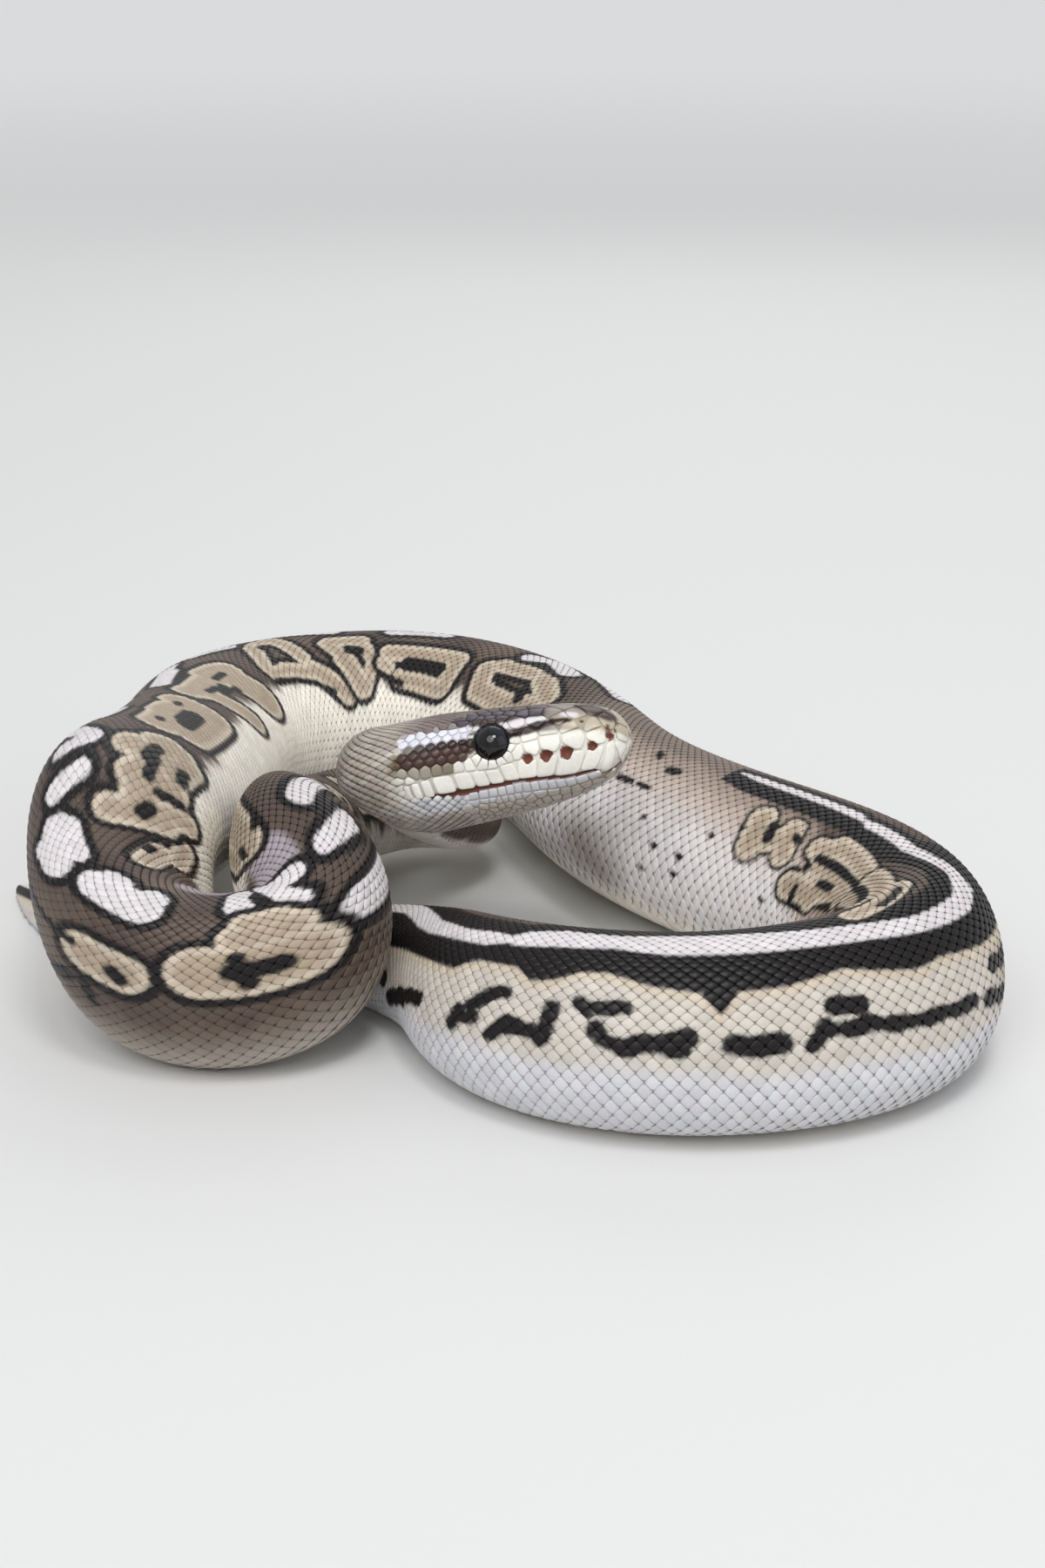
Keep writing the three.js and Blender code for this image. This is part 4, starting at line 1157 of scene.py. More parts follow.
@dataclass
class ScaleCoat:
    """The overlapping scales of the trunk, neck and tail, laid by Geometry Nodes."""

    head: Head
    markings: Markings
    start: float = 18.6
    long: float = 1.42
    across: float = 0.52
    thick: float = 1.0
    patch: float = PATCH
    belly_edge: float = 143.0
    rows: int = 72  # on either side of the middle one, an even number
    growth: float = 0.456
    thinnest: float = 0.4
    nape: tuple[float, float] = (56.0, 36.0)
    own_colour: float = 0.85
    seed: int = 5
    parts: tuple[tuple[str, float], ...] = (
        ("scales_nape", 52), ("scales_neck", 118), ("scales_fore_fold", 176), ("scales_left_side", 236),
        ("scales_rear_arc", 300), ("scales_right_side", 392), ("scales_front", 476), ("scales_tail", 600),
    )  # each piece and where it ends
    station_step: float = 1.5
    stations: np.ndarray = field(init=False, repr=False)
    reach: np.ndarray = field(init=False, repr=False)
    tables: list[np.ndarray] = field(init=False, repr=False)
    _local: np.ndarray = field(init=False, repr=False)
    _rim: np.ndarray = field(init=False, repr=False)

    def size(self, s: np.ndarray) -> np.ndarray:
        """The scales' size at s, 1 on the thickest of the trunk."""
        girth = np.maximum(self.head.body.girth(s), self.thinnest) / 12
        small = 0.92 + 0.08 * smooth(30, 78, s)
        return girth**0.42 * small

    def widening(self, s: np.ndarray) -> np.ndarray:
        """How fast the rows widen down the flank at s: little on the head and neck."""
        return self.growth * (0.3 + 0.7 * smooth(28, 60, s))

    def __post_init__(self) -> None:
        """Measures the way round the body everywhere, to space the rows evenly on it."""
        self.stations = np.arange(16.0, self.head.body.length, self.station_step)
        turned = np.radians(np.linspace(0, 180, 121))
        self.reach = np.linspace(0, 4.4, 177)
        self.tables = []
        for side in (1, -1):
            s, theta = grid(self.stations, side * turned)
            p = self.head.surface(s, theta).reshape(len(self.stations), len(turned), 3)
            arc = np.cumsum(np.linalg.norm(np.diff(p, axis=1), axis=2), axis=1)
            arc = np.hstack([np.zeros((len(arc), 1)), arc]) / self.head.body.girth(self.stations)[:, None]
            self.tables.append(np.array([np.interp(self.reach, row, turned) for row in arc]))

    def turned(self, s: np.ndarray, way: np.ndarray) -> np.ndarray:
        """The angle reached after a way round the body from the back, given in mean radii."""
        across = np.clip(np.abs(way) / self.reach[1], 0, len(self.reach) - 1.001)
        down = np.clip((s - self.stations[0]) / self.station_step, 0, len(self.stations) - 1.001)
        i, j = down.astype(int), across.astype(int)
        x, y = down - i, across - j
        left, right = [(table[i, j] * (1 - x) + table[i + 1, j] * x) * (1 - y)
                       + (table[i, j + 1] * (1 - x) + table[i + 1, j + 1] * x) * y for table in self.tables]
        return np.where(way > 0, left, -right)

    def way(self, row: int, s: np.ndarray) -> np.ndarray:
        """A row's way round the body at s, in mean radii: rows widen down the flank."""
        step = self.across * self.size(s) / np.maximum(self.head.body.girth(s), self.thinnest)
        growth = self.widening(s)
        return -np.sign(row) * np.log(np.maximum(1 - growth * step * abs(row), 0.02)) / growth

    def roots(self) -> tuple[np.ndarray, np.ndarray, np.ndarray]:
        """Every scale's place: along the body in mm, angle round it and way round it."""
        fine = np.arange(self.start, self.head.body.length - 1.2, 0.05)
        phase = np.cumsum(0.05 / (self.long * self.size(fine)))
        places = []
        for odd in (0, 1):  # every other row starts half a scale on
            columns = np.interp(np.arange(0.5 * odd, phase[-1], 1.0), phase, fine)
            for row in range(-self.rows + odd, self.rows + 1, 2):
                way = self.way(row, columns)
                theta = self.turned(columns, way)
                angle = np.abs(np.degrees(theta))
                belly = np.where(columns < 35, 179.0, self.belly_edge)
                keep = (angle < belly) & (columns > Head.shields_end(angle))
                places.append(np.stack([columns, theta, way])[:, keep])
        return tuple(np.hstack(places))

    def template(self) -> bpy.types.Object:
        """One scale, a unit long and wide: a closed low dome with a round free tip."""
        half = ((-0.28, 0.29), (0.0, 0.49), (0.24, 0.41), (0.46, 0.20))
        edge = ((-0.50, 0.0), *half, (0.60, 0.0), *[(x, -y) for x, y in half[::-1]])
        count = len(edge)
        points = [(0.02, 0.0, 0.175), *[(x * 0.72 + 0.01, y * 0.72, 0.125 + 0.09 * x) for x, y in edge],
                  *[(x, y, 0.03 + 0.16 * x) for x, y in edge], (0.0, 0.0, -0.10)]
        rim = np.array([0.0] + [0.42] * count + [1.0] * (count + 1))
        faces = []
        outer, base = 1 + count, 1 + 2 * count
        for k in range(count):
            n = (k + 1) % count
            faces += [(0, 1 + n, 1 + k), (1 + k, 1 + n, outer + n), (1 + k, outer + n, outer + k),
                      (outer + k, outer + n, base)]
        mesh = bpy.data.meshes.new("scale_template")
        mesh.from_pydata(points, [], [f[::-1] for f in faces])
        mesh.update()
        paint(mesh, "rim", "FLOAT", rim)
        self._local = np.array(points) * (1, 1, 0)
        self._rim = rim
        paint(mesh, "local", "FLOAT_VECTOR", self._local)
        return stand("scale_template", mesh)

    def tree(self) -> bpy.types.NodeTree:
        """The tree that puts a scale on every root, turned by its lie and stretched by its span."""
        group = bpy.data.node_groups.new("lay_scales", "GeometryNodeTree")
        face = group.interface
        for name, kind in (("Roots", "Geometry"), ("Scale", "Object"), ("Thickness", "Float"),
                           ("Patch", "Float"), ("Finish", "Material")):
            face.new_socket(name, in_out="INPUT", socket_type="NodeSocket" + kind)
        face.new_socket("Scales", in_out="OUTPUT", socket_type="NodeSocketGeometry")
        nodes, links = group.nodes, group.links

        def add(kind: str, inputs: dict[Any, Any], **settings: Any) -> bpy.types.NodeSocket:
            """A node with its properties set and its inputs given or linked: its first shown output."""
            node = nodes.new(kind)
            for key, value in settings.items():
                setattr(node, key, value)
            for key, value in inputs.items():
                socket = next(k for i, k in enumerate(node.inputs) if k.enabled and key in (i, k.name))
                if isinstance(value, bpy.types.NodeSocket):
                    links.new(value, socket)
                else:
                    socket.default_value = value
            return next((out for out in node.outputs if out.enabled), None)

        def named(name: str, kind: str) -> bpy.types.NodeSocket:
            """A stored attribute's value."""
            return add("GeometryNodeInputNamedAttribute", {"Name": name}, data_type=kind)

        entry = nodes.new("NodeGroupInput").outputs
        source = nodes.new("GeometryNodeObjectInfo")
        links.new(entry["Scale"], source.inputs["Object"])
        stretch = add("ShaderNodeCombineXYZ", {0: 1.0, 1: 1.0, 2: entry["Thickness"]})
        span = add("ShaderNodeVectorMath", {0: named("span", "FLOAT_VECTOR"), 1: stretch},
                   operation="MULTIPLY")
        copies = add("GeometryNodeInstanceOnPoints", {
            "Points": entry["Roots"], "Instance": source.outputs["Geometry"],
            "Rotation": named("lie", "QUATERNION"), "Scale": span})
        spread = add("ShaderNodeVectorMath", {0: named("local", "FLOAT_VECTOR"), "Scale": entry["Patch"]},
                     operation="SCALE")
        place = add("ShaderNodeVectorMath", {0: named("root", "FLOAT_VECTOR"), 1: spread}, operation="ADD")
        last = add("GeometryNodeStoreNamedAttribute", {
            "Name": "OFBake", "Value": place, "Geometry": add("GeometryNodeRealizeInstances", {0: copies})},
            data_type="FLOAT2", domain="CORNER")
        for name in ("root", "local", "span", "lie"):
            last = add("GeometryNodeRemoveAttribute", {"Name": name, "Geometry": last})
        dress = add("GeometryNodeSetMaterial", {"Geometry": last, "Material": entry["Finish"]})
        add("NodeGroupOutput", {0: dress})
        return group

    def build(self, material: bpy.types.Material) -> list[bpy.types.Object]:
        """Lays the scales, one piece for each stretch of the body.

        Args:
            material: their finish.

        Returns:
            The pieces.
        """
        s, theta, way = self.roots()
        rng = np.random.default_rng(self.seed)
        p, normal, tail, side, stretch = frames_on(self.head, s, theta)
        size = self.size(s)
        long = self.long * size * stretch
        girth = self.head.body.girth(s)
        wide = 2 * self.across * size * np.exp(self.widening(s) * np.abs(way))
        half = 0.5 * wide / girth
        turn = self.turned(s, way + half) - self.turned(s, way - half)
        tall = np.minimum(1.0, 0.35 + 0.65 * size) * np.clip(long / (self.long * size), 0.55, 1.15)
        tint = rng.uniform(0.93, 1.06, (len(s), 1)) * rng.uniform(0.985, 1.015, (len(s), 3))
        tint = 1 + (tint - 1) * (1 + 1.4 * smooth(*self.nape, s))[:, None]
        lie = quaternions(tail, side, normal)
        span = np.stack([long, wide, tall], 1) * MM
        template, group = self.template(), self.tree()
        keys = {k.name: k.identifier for k in group.interface.items_tree if k.in_out == "INPUT"}
        pieces, low = [], 0.0
        for name, high in self.parts:
            pick = (s >= low) & (s < high)
            first, final = s[pick].min(), s[pick].max()
            mesh = bpy.data.meshes.new(name + "_roots")
            mesh.from_pydata((p[pick] * MM).tolist(), [], [])
            u = on_map((s[pick] - first) / (final - first))
            root = np.stack([u, on_map(theta[pick] / (2 * math.pi) + 0.5), 0 * u], 1)
            paint(mesh, "lie", "QUATERNION", lie[pick])
            paint(mesh, "span", "FLOAT_VECTOR", span[pick])
            paint(mesh, "root", "FLOAT_VECTOR", root)
            roots = stand(name + "_roots", mesh)
            laid = roots.modifiers.new("lay_scales", "NODES")
            laid.node_group = group
            laid[keys["Scale"]] = template
            laid[keys["Thickness"]] = self.thick
            laid[keys["Patch"]] = self.patch
            laid[keys["Finish"]] = material
            seen = roots.evaluated_get(bpy.context.evaluated_depsgraph_get())
            plain = bpy.data.meshes.new_from_object(seen)
            plain.name = name
            self._rest_on_floor(plain)
            self._mark(plain, s[pick], theta[pick], self.long * size[pick], turn[pick], tint[pick])
            roots.modifiers.remove(laid)
            bpy.data.objects.remove(roots)
            pieces.append(add_object(plain, material))
            low = high
        bpy.data.objects.remove(template)
        return pieces

    def _mark(self, mesh: bpy.types.Mesh, s: np.ndarray, theta: np.ndarray, long: np.ndarray,
              turn: np.ndarray, tint: np.ndarray) -> None:
        """Colours each scale, a little by its own middle and mostly by where each of its points lies.

        Args:
            mesh: the laid scales, whose vertices follow the roots in order.
            s: the roots' places along the body in mm.
            theta: their angles.
            long: their lengths in mm of spine.
            turn: their widths as angles.
            tint: each scale's own shade.
        """
        local = self._local
        count = len(local)
        assert len(mesh.vertices) == count * len(s)
        share = self.own_colour
        place = (s[:, None] + long[:, None] * local[None, :, 0] * share).ravel()
        angle = (theta[:, None] - turn[:, None] * local[None, :, 1] * share).ravel()
        colour = self.markings.colour(np.clip(place, 0.1, self.head.body.length), angle)
        net = 1 + smooth(*self.nape, s)[:, None] * (0.12 - 0.42 * self._rim[None])
        paint(mesh, "marking", "FLOAT_COLOR", colour * np.repeat(tint, count, axis=0) * net.reshape(-1, 1))

    @staticmethod
    def _rest_on_floor(mesh: bpy.types.Mesh) -> None:
        """Keeps the lowest scales just above the floor."""
        place = np.empty(3 * len(mesh.vertices), np.float32)
        mesh.vertices.foreach_get("co", place)
        place = place.reshape(-1, 3)
        place[:, 2] = np.maximum(place[:, 2], 0.02 * MM)
        mesh.vertices.foreach_set("co", place.ravel())
        mesh.update()


@dataclass
class Scutes:
    """The broad plates of the belly, each bedded on the skin and lapping the next."""

    head: Head
    markings: Markings
    start: float = 34.0
    long: float = 2.5
    half_angle: float = 37.0
    lengthwise: int = 5
    crosswise: int = 19
    seed: int = 8

    def build(self, material: bpy.types.Material) -> bpy.types.Object:
        """Makes every plate as one closed shell of a joined piece.

        Args:
            material: their finish.

        Returns:
            The piece.
        """
        body = self.head.body
        a, b = self.lengthwise, self.crosswise
        u, t = grid(np.linspace(0, 1, a), np.linspace(-1, 1, b))
        places = [self.start]
        while places[-1] < body.length - 1.5:
            places.append(places[-1] + self.pitch(places[-1]))
        s0 = np.array(places)
        pitch = np.array([self.pitch(x) for x in places])
        s = s0[:, None] + pitch[:, None] * (1.16 * u - 0.08 + 0.22 * (1 - t**2))[None]
        s = np.minimum(s, body.length - 0.15)
        theta = math.pi + math.radians(self.half_angle) * t[None] * np.ones_like(s)
        edge = np.minimum(1.0, 4.0 * (1 - np.abs(t)))
        thin = np.minimum(1.0, 0.3 + body.girth(s) / 14)
        upper = (0.02 + 0.15 * u**0.8 * (1 - 0.25 * (1 - edge))) * thin
        upper = np.where(((u > 0.999) | (np.abs(t) > 0.999))[None], upper - 0.05 * thin, upper)
        top = self.head.surface(s.ravel(), theta.ravel(), upper.ravel())
        low = self.head.surface(s.ravel(), theta.ravel(), np.full(s.size, -0.07))
        count, size = len(s0), a * b
        points = np.concatenate([top.reshape(count, size, 3), low.reshape(count, size, 3)], 1).reshape(-1, 3)
        faces = self._faces(a, b)
        shift = (np.arange(count) * 2 * size)[:, None, None]
        mesh = new_mesh("scutes", points, (faces[None] + shift).reshape(-1, 4).tolist())
        rng = np.random.default_rng(self.seed)
        tint = np.repeat(rng.uniform(0.94, 1.04, count), size)[:, None]
        colour = self.markings.colour(s.ravel(), theta.ravel()) * tint
        colour = np.concatenate([colour.reshape(count, size, 3)] * 2, 1).reshape(-1, 3)
        rim = np.maximum(smooth(0.8, 1.0, u), smooth(0.93, 1.0, np.abs(t)))
        rim = np.tile(np.concatenate([rim, np.ones(size)]), count)
        paint(mesh, "marking", "FLOAT_COLOR", colour)
        paint(mesh, "rim", "FLOAT", rim)
        self._map(mesh, s0, u, t)
        return add_object(mesh, material)

    def pitch(self, s: float) -> float:
        """The plates' spacing in mm at s."""
        return self.long * (float(self.head.body.girth(np.array([s]))[0]) / 12) ** 0.5

    @staticmethod
    def _faces(a: int, b: int) -> np.ndarray:
        """One plate's faces: its top, its underside and the walls between."""
        i, j = grid(np.arange(a - 1), np.arange(b - 1))
        top = np.stack([i * b + j, i * b + j + 1, (i + 1) * b + j + 1, (i + 1) * b + j], 1)
        low = top[:, ::-1] + a * b
        loop = list(range(b)) + [i * b + b - 1 for i in range(1, a)]
        loop += [(a - 1) * b + j for j in range(b - 2, -1, -1)] + [i * b for i in range(a - 2, 0, -1)]
        wall = [(k, k + a * b, n + a * b, n) for k, n in zip(loop, loop[1:] + loop[:1])]
        return np.concatenate([top, low, np.array(wall)])

    @staticmethod
    def _map(mesh: bpy.types.Mesh, s0: np.ndarray, u: np.ndarray, t: np.ndarray) -> None:
        """Each plate's own small patch of the map."""
        count = len(s0)
        root = on_map((s0 - s0[0]) / (s0[-1] - s0[0]))
        across = np.repeat(root, 2 * len(u)) + np.tile(np.concatenate([u, u]), count) * PATCH
        up = 0.5 + np.tile(np.concatenate([t, t]), count) * 0.5 * PATCH
        add_map(mesh, np.stack([across, up], 1)[corners(mesh)])


class Kind(Enum):
    """What a cell of the head's skin carries."""

    PLATE = 0
    CHIN = 1
    BARE = 2


@dataclass
class HeadShields:
    """The shields and small scales of the head: closed plates on the cells between their seeds."""

    head: Head
    markings: Markings
    seed: int = 3
    tries: int = 34000
    gap: float = 0.04
    lip_gap: float = 0.22
    upper_seams: tuple[float, ...] = (
        1.3, 2.9, 5.0, 8.1, 10.4, 12.8, 14.7, 16.4, 18.1, 20.2, 22.6, 23.8, 24.8, 25.6,
    )
    lower_seams: tuple[float, ...] = (
        1.6, 3.2, 4.8, 6.2, 7.4, 8.5, 9.5, 10.5, 11.5, 12.5, 13.5, 14.5, 15.5, 16.6, 17.8, 19.0,
    )
    beside: tuple[tuple[float, float, float], ...] = (
        (3.2, 66, 1.1), (5.9, 70, 1.2), (8.8, 73, 1.1), (10.9, 76.5, 0.85), (12.6, 80.5, 0.7), (3.6, 53, 0.9),
        (6.3, 56, 0.8), (8.9, 58, 0.8), (11.2, 63, 0.8), (7.6, 41, 0.9), (10.3, 44, 0.9), (12.9, 45, 0.9),
    )
    temple_rows: tuple[float, ...] = (47.5, 55.5, 63.5, 71.5, 79.5, 87.2)
    big_rings: tuple[tuple[float, float, float], ...] = (
        (1.0, -0.06, 1.0), (1.0, 0.07, 0.85), (0.95, 0.13, 0.45), (0.87, 0.165, 0.2), (0.76, 0.18, 0.08),
        (0.62, 0.19, 0.0), (0.46, 0.198, 0.0), (0.30, 0.203, 0.0), (0.14, 0.205, 0.0),
    )  # share of the reach, height in mm and nearness to the edge
    small_rings: tuple[tuple[float, float, float], ...] = (
        (1.0, -0.05, 1.0), (0.99, 0.08, 0.8), (0.84, 0.16, 0.35), (0.5, 0.21, 0.05),
    )
    top_and_foot: tuple[tuple[float, float], ...] = ((0.215, 0.0), (-0.1, 1.0))
    big_spacing: float = 0.95
    big_end: float = 18.4
    small_height: float = 0.75
    eye_ring: int = 16
    closeness: float = 0.93
    cornering: float = 12.0

    def spacing(self, s: np.ndarray, a: np.ndarray) -> np.ndarray:
        """How far apart the seeds stand, in mm."""
        out = np.interp(s, (0, 9, 12, 17, 20, 23, 26, 34), (2.0, 2.0, 1.6, 1.15, 0.85, 0.68, 0.55, 0.58))
        out = np.where((s > 18.4) & (s < 25.5) & (a > 44) & (a < 92), 1.10, out)
        chin = np.interp(s, (0, 9, 14, 18, 34), (1.5, 1.1, 0.85, 0.80, 0.70))
        return np.where(a > 116, chin, out)

    def seeds(self) -> tuple[np.ndarray, np.ndarray, np.ndarray, list[Kind]]:
        """The seeds' places, sizes and kinds, the same on both sides."""
        rows = [(s, a, size, Kind.PLATE) for s, a, size in self.beside]
        for k, a in enumerate(self.temple_rows):
            places = [19.0 + 0.6 * (k % 2) + 1.2 * i for i in range(7)]
            rows += [(s, a, 0.5, Kind.PLATE) for s in places if s < 26.2]
        rows += [(s, a, radius, Kind.BARE) for s, a, radius, _ in self.head.pits]
        at, turn, shows = self.head.eye_spot, self.head.eye_angle, self.head.eye_shows + 0.02
        ring, small = shows + 0.56, 0.5
        rows.append((at, turn, math.sqrt(ring * ring + small**2 - 2 * ring * 0.52), Kind.BARE))
        arc, turned = self.head.arcs(at, turn)
        for k in range(self.eye_ring):
            angle = 2 * math.pi * k / self.eye_ring
            a = float(np.interp(-ring * math.cos(angle), arc, turned))
            rows.append((at + ring * math.sin(angle), a, small, Kind.PLATE))
        middle = [(0.45 + SKIN_DEPTH, 180.0, 0.9, Kind.PLATE), (1.9, 180.0, 0.9, Kind.CHIN)]
        at = 3.4
        while at < 19.6:
            middle.append((at, 0.0, 0.5, Kind.PLATE))
            at += float(self.spacing(np.array([at]), np.array([0.0]))[0])
        rng = np.random.default_rng(self.seed)
        set_s, set_a, size, _ = zip(*rows, *middle)
        s = np.concatenate([set_s, rng.uniform(0.8, self.head.reach, self.tries)])
        a = np.concatenate([set_a, rng.uniform(0, 180, self.tries)])
        size = np.array(size)
        fixed = len(size)
        points = self.head.surface(s, np.radians(a))
        mirror = self.head.surface(s, -np.radians(a))
        need = self.spacing(s, a)
        mm = self.head.body.degree(s)
        taken = points[:fixed]
        room = np.where(size > 1.6, ring + 0.1, np.where(size > 1.0, 1.6, np.where(size < 0.58, 0.75, 0.0)))
        keep: list[int] = []
        for i in range(fixed, len(s)):
            gap = np.linalg.norm(taken - points[i], axis=1)
            clear = self.closeness * need[i]
            apart = np.linalg.norm(points[i] - mirror[i])
            crowded = apart < clear or (gap < np.where(room > 0, room, clear)).any()
            off = 0.42 * need[i] / mm[i]
            beside = Head.upper_edge(s[i]) - off < a[i] < Head.lower_edge(s[i]) + off
            on_lip = beside and 1.2 < s[i] < self.upper_seams[-1]
            if crowded or on_lip or s[i] > Head.shields_end(a[i]) + 0.25:
                continue
            taken = np.vstack([taken, points[i]])
            room = np.append(room, 0.0)
            keep.append(i)
        kinds = [Kind.CHIN if a[i] > Head.mouth(s[i]) else Kind.PLATE for i in keep]
        rows += [(s[i], a[i], 0.5 * need[i], kind) for i, kind in zip(keep, kinds)]
        every = [(x, way * math.radians(y), r, kind)
                 for way, part in ((1, rows), (-1, rows), (1, middle)) for x, y, r, kind in part]
        s, theta, size, kinds = zip(*every)
        return np.array(s), np.array(theta), np.array(size), list(kinds)

    def ground(self) -> BVHTree:
        """The head's smooth skin, to lay the plates on."""
        tip = SKIN_DEPTH + 2.6 * np.linspace(0.0, 1, 16)[1:] ** 2
        stations = np.concatenate([tip, np.arange(3.1, 37, 0.25)])
        m = 144
        s, theta = grid(stations, np.linspace(-math.pi, math.pi, m, endpoint=False))
        points = self.head.surface(s, theta)
        points = np.vstack([points, points[:m].mean(0)])
        quads = tube_faces(len(stations), m)
        tip = [(len(points) - 1, (x + 1) % m, x) for x in range(m)]
        return BVHTree.FromPolygons(points.tolist(), quads.tolist() + tip)

    def build(self, material: bpy.types.Material) -> bpy.types.Object:
        """Makes the plates as one joined piece.

        Args:
            material: their finish.

        Returns:
            The piece.
        """
        s, theta, size, kinds = self.seeds()
        lips = self.lips()
        own = len(s)
        s, theta = np.append(s, [k[0] for k in lips]), np.append(theta, [k[1] for k in lips])
        p, normal, tail, side, _ = frames_on(self.head, s, theta)
        ground = self.ground()
        need = self.spacing(s, np.degrees(np.abs(theta)))
        rng = np.random.default_rng(self.seed + 1)
        points: list[np.ndarray] = []
        faces: list[tuple[int, ...]] = []
        rims, where, patches = [], [], []
        for i in range(len(s)):
            lip = i >= own
            if not lip and kinds[i] is Kind.BARE:
                continue
            big = lip or (need[i] > self.big_spacing and s[i] < self.big_end)
            spokes, rings, high = 14, self.small_rings, self.small_height
            if big:
                spokes, rings, high = 32, self.big_rings, 1.0
            turn = np.linspace(0, 2 * math.pi, spokes, endpoint=False)
            way = np.cos(turn)[:, None] * tail[i] + np.sin(turn)[:, None] * side[i]
            if lip:
                radius = self._lip_shape(turn, *lips[i - own][2:])
            else:
                radius = self._cell(i, p[:own], normal, size, way, need[i])
            arc = self.head.arcs(s[i], float(np.degrees(theta[i])))
            radius = self._clip(s[i], arc, turn, radius, None if lip else kinds[i])
            tone = rng.uniform(0.93, 1.05)
            first = len(points)
            local = []
            for share, lift, rim in rings:
                for k in range(spokes):
                    spot_at, up, _, _ = ground.find_nearest(Vector(p[i] + way[k] * radius[k] * share))
                    if up.dot(Vector(normal[i])) < 0:
                        up = -up
                    points.append(np.array(spot_at) + np.array(up) * lift * high)
                    reach = radius[k] * share
                    local.append((reach * math.cos(turn[k]), reach * math.sin(turn[k]), rim))
            for lift, rim in self.top_and_foot:
                points.append(p[i] + normal[i] * lift * high)
                local.append((0.0, 0.0, rim))
            x, y, rim = np.array(local).T
            spread = 1.0 if big else 0.0
            angle = np.radians(np.interp(-y * spread, *arc))
            where.append(np.stack([np.maximum(s[i] + x * spread, 0.1), angle, np.full(len(x), tone)], 1))
            rims.append(rim)
            u, v = on_map(s[i] / self.head.reach), on_map(theta[i] / (2 * math.pi) + 0.5)
            patches.append(np.stack([u + x * 0.5 * PATCH, v + y * 0.5 * PATCH], 1))
            top, low = first + len(rings) * spokes, first + len(rings) * spokes + 1
            for k in range(spokes):
                n = (k + 1) % spokes
                for r in range(len(rings) - 1):
                    a, b = first + r * spokes, first + (r + 1) * spokes
                    faces.append((a + k, a + n, b + n, b + k))
                last = first + (len(rings) - 1) * spokes
                faces.append((last + k, last + n, top))
                faces.append((first + n, first + k, low))
        mesh = new_mesh("head_shields", np.array(points), faces)
        at, angle, tone = np.concatenate(where).T
        paint(mesh, "marking", "FLOAT_COLOR", self.markings.colour(at, angle) * tone[:, None])
        paint(mesh, "rim", "FLOAT", np.concatenate(rims))
        add_map(mesh, np.concatenate(patches)[corners(mesh)])
        return add_object(mesh, material)

    def lips(self) -> list[tuple[float, float, float, float, float]]:
        """The lips' scales: each one's place and angle, half its length and height, and its lean."""
        out = []
        for seams, upper in ((self.upper_seams, True), (self.lower_seams, False)):
            for first, last in zip(seams[:-1], seams[1:]):
                s = 0.5 * (first + last)
                mouth = float(Head.mouth(s))
                mm = float(self.head.body.degree(np.array([s]))[0])
                room = np.interp(s, (17, 20, 23), (self.lip_gap, 0.3, 0.2)) / mm
                top = float(Head.upper_edge(s)) if upper else mouth + room
                low = mouth - room if upper else float(Head.lower_edge(s))
                lean = float(np.interp(s, (3, 7, 9.5, 11.5, 13, 18, 23),
                                       (-0.6, -0.45, -0.35, -0.1, 0.3, 0.3, 0.2)))
                lean *= 1 if upper else -0.2
                arc, turned = self.head.arcs(s, 0.5 * (top + low))
                ends = np.interp((top, low), turned, arc)
                middle = float(np.interp(ends.mean(), arc, turned))
                high = 0.5 * float(ends[1] - ends[0]) - self.gap
                long = 0.5 * (last - first) - self.gap
                for side in (1, -1):
                    out.append((s, side * math.radians(middle), long, high, lean * side))
        return out

    @staticmethod
    def _lip_shape(turn: np.ndarray, half_long: float, half_high: float, lean: float) -> np.ndarray:
        """How far a lip scale reaches each way: a leaning, round-cornered oblong."""
        x = np.abs(np.cos(turn) - lean * np.sin(turn)) / half_long
        y = np.abs(np.sin(turn)) / half_high
        return (x**6 + y**6) ** (-1 / 6)

    def _clip(self, s: float, arc: tuple[np.ndarray, np.ndarray], turn: np.ndarray, radius: np.ndarray,
              kind: "Kind | None") -> np.ndarray:
        """Shortens a plate's reach where it would lie on the lips' scales or in a pit.

        Args:
            s: the plate's place along the head.
            arc: the ways round from its middle and the angles they lead to.
            turn: the directions.
            radius: its reach each way.
            kind: what it is, or None for a lip scale.

        Returns:
            The reach, shortened.
        """
        share = np.linspace(0.05, 1.0, 39)[:, None]
        place = s + radius[None] * share * np.cos(turn)[None]
        angle = np.abs(np.interp(-radius[None] * share * np.sin(turn)[None], *arc))
        mm = float(self.head.per_degree(s, abs(arc[1][len(arc[1]) // 2]))[0])
        clear = np.ones(place.shape, bool)
        lips = (place > self.upper_seams[0]) & (place < self.upper_seams[-1])
        if kind is Kind.PLATE:
            clear &= ~lips | (angle < Head.upper_edge(place) - self.gap / mm)
        if kind is Kind.CHIN:
            lips &= place < self.lower_seams[-1]
            clear &= ~lips | (angle > Head.lower_edge(place) + self.gap / mm)
        for at, level, hole, _ in self.head.pits:
            clear &= np.hypot(place - at, self.head.rise(angle, at, level)) > hole
        first = np.argmin(np.vstack([clear, np.zeros((1, len(turn)), bool)]), axis=0)
        kept = np.where(first > 0, share[np.maximum(first, 1) - 1, 0], 0.05)
        return radius * kept

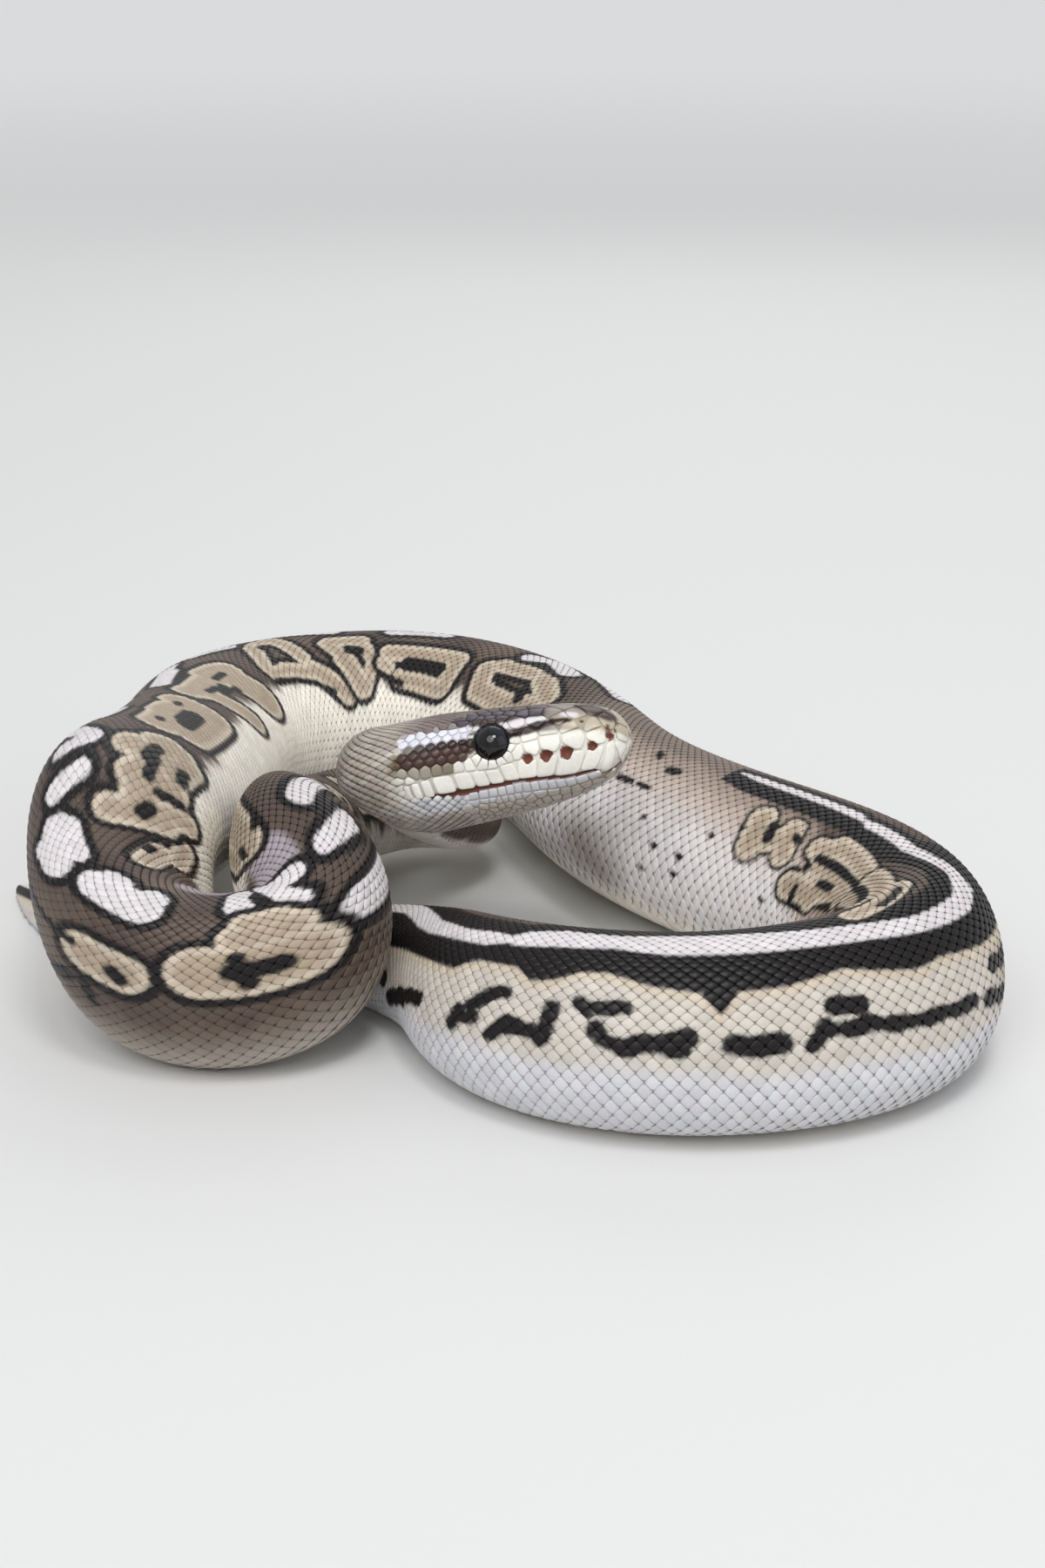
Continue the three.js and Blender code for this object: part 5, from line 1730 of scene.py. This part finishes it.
    def _cell(self, i: int, p: np.ndarray, normal: np.ndarray, size: np.ndarray, way: np.ndarray,
              need: float) -> np.ndarray:
        """How far a plate reaches each way, in mm, before its neighbours' cells.

        Args:
            i: the plate.
            p: the seeds' points.
            normal: their normals.
            size: their sizes, which push the border away from the bigger.
            way: the directions.
            need: the spacing there.

        Returns:
            A reach for each direction.
        """
        offset = p - p[i]
        distance = np.linalg.norm(offset, axis=1)
        near = np.nonzero((distance > 1e-6) & (distance < 2.6 * need + size + 0.8))[0]
        flat = offset[near] - np.outer(offset[near] @ normal[i], normal[i])
        flat /= np.maximum(np.linalg.norm(flat, axis=1), TINY)[:, None]
        d = distance[near]
        border = np.maximum((d * d + size[i] ** 2 - size[near] ** 2) / (2 * d) - self.gap, 0.12)
        facing = way @ flat.T
        reach = np.where(facing > 0.05, border[None] / np.maximum(facing, 0.05), 1e3)
        reach = np.minimum(reach, 1.5 * max(need, size[i]))
        return np.sum(reach**-self.cornering, axis=1) ** (-1 / self.cornering)


@dataclass
class Eyes:
    """The two eyes, glossy balls in their sockets."""

    head: Head
    segments: int = 64
    rings: int = 40

    def build(self, side: int, material: bpy.types.Material) -> bpy.types.Object:
        """Makes one eye.

        Args:
            side: 1 for the left, -1 for the right.
            material: its finish.

        Returns:
            The piece.
        """
        centre = self.head.eye_centre(side)
        _, tangent, back, flank, _ = [x[0] for x in self.head.body.frames(np.array([self.head.eye_at]))]
        out = flank * side
        m, faces = self.segments, []
        polar, turn = grid(math.pi * np.arange(1, self.rings) / self.rings, 2 * math.pi * np.arange(m) / m)
        ball = np.stack([np.sin(polar) * np.cos(turn), np.sin(polar) * np.sin(turn), np.cos(polar)], 1)
        gaze = np.vstack([(0.0, 0.0, 1.0), ball, (0.0, 0.0, -1.0)])
        end = len(gaze) - 1
        for j in range(m):
            k = (j + 1) % m
            faces.append((0, 1 + j, 1 + k))
            faces.append((end, end - m + k, end - m + j))
            for i in range(self.rings - 2):
                a, b = 1 + i * m, 1 + (i + 1) * m
                faces.append((a + j, b + j, b + k, a + k))
        axes = np.stack([-tangent, back, out])
        if np.linalg.det(axes) < 0:
            faces = [f[::-1] for f in faces]
        points = centre + (gaze @ axes) * (self.head.eye_radius - 0.02)
        name = "left" if side > 0 else "right"
        mesh = new_mesh("eyeball_" + name, points, faces)
        paint(mesh, "gaze", "FLOAT_VECTOR", gaze)
        eye = add_object(mesh, material)
        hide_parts("eye_" + name)
        return eye


@dataclass
class Stage:
    """The pale floor, the soft lights and the camera."""

    floor_radius: float = 14.0
    floor_sides: int = 96
    camera_at: tuple[float, float, float] = (0.00662, -0.28551, 0.123)
    pitch_down: float = 20.0
    lens: float = 53.8
    pale: tuple[float, float, float] = (0.74, 0.74, 0.735)
    # painted light: the floor's colour far out, paler to make up for less lamp light there
    pale_far: tuple[float, float, float] = (0.93, 0.93, 0.925)
    lights: tuple[tuple[str, str, tuple[float, float, float], float, float], ...] = (
        ("key", "AREA", (0.08, -0.30, 0.64), 0.17, 1.25), ("spark", "AREA", (-0.06, -0.42, 0.55), 0.06, 0.15),
        ("day", "SUN", (-0.20, -0.50, 0.632), 0.7, 1.0), ("fill", "AREA", (0.5, -0.3, 0.35), 0.5, 0.4),
        ("rim", "AREA", (0.1, 0.55, 0.42), 0.4, 0.5),
    )  # place, size or the sun's angle, and power
    aim: tuple[float, float, float] = (0.0, 0.0, 0.012)
    sky: tuple[float, float, float, float] = (0.93, 0.94, 0.96, 1)
    sky_strength: float = 0.58

    def build(self) -> None:
        """Sets the floor, the world, four soft lamps and a soft sun, and the camera."""
        turn = [2 * math.pi * k / self.floor_sides for k in range(self.floor_sides)]
        mesh = bpy.data.meshes.new("floor")
        rim = [(self.floor_radius * math.cos(t), self.floor_radius * math.sin(t), -0.02 * MM) for t in turn]
        mesh.from_pydata(rim, [], [tuple(range(self.floor_sides))])
        floor = stand("floor", mesh)
        sh = Shader("floor_pale")
        grain = sh.noise(900.0, 3.0)
        near = sh.blend(grain, (*[c * 0.985 for c in self.pale], 1), (*self.pale, 1))
        away = sh.add("ShaderNodeVectorMath", {"operation": "LENGTH"}, {0: sh.place()})[0]
        # painted light: the floor turns paler from 0.4 m to 2.2 m out, making up for the lamps' light falling
        # off there
        tint = sh.blend(away.ramp(0.4, 2.2), near, (*self.pale_far, 1))
        mesh.materials.append(sh.finish(tint, grain * 0.1 + 0.6, None))
        self._world()
        for name, kind, place, size, power in self.lights:
            light = bpy.data.lights.new(name, kind)
            light.energy = power
            if kind == "SUN":
                light.angle = size
            else:
                light.size = size
            way = Vector(self.aim) - Vector(place)
            stand(name, light, place).rotation_euler = way.to_track_quat("-Z", "Y").to_euler()
        data = bpy.data.cameras.new("camera")
        data.lens = self.lens
        data.clip_start = 0.01
        camera = stand("camera", data, self.camera_at)
        camera.rotation_euler = (math.radians(90 - self.pitch_down), 0.0, 0.0)
        bpy.context.scene.camera = camera
        bpy.context.scene.view_settings.view_transform = "Standard"

    def _world(self) -> None:
        """An even pale sky."""
        world = bpy.data.worlds.new("studio")
        world.use_nodes = True
        sky = world.node_tree.nodes["Background"]
        sky.inputs["Color"].default_value = self.sky
        sky.inputs["Strength"].default_value = self.sky_strength
        bpy.context.scene.world = world


def main() -> None:
    """Builds the python piece by piece."""
    logging.basicConfig(level=logging.INFO, format="%(name)s %(message)s")
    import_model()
    body = Body()
    head = Head(body)
    markings = Markings(body)
    Stage().build()
    Skin(head, markings).build(SkinFinish().material())
    ScaleCoat(head, markings).build(ScaleFinish("trunk_scales").material())
    Scutes(head, markings).build(ScaleFinish("belly_scutes", edge=0.3, gloss=0.32).material())
    HeadShields(head, markings).build(ScaleFinish("head_scales", edge=0.6, gloss=0.27, grain=0.06).material())
    wet = EyeFinish().material()
    for side in (1, -1):
        Eyes(head).build(side, wet)


if __name__ == "__main__":
    main()
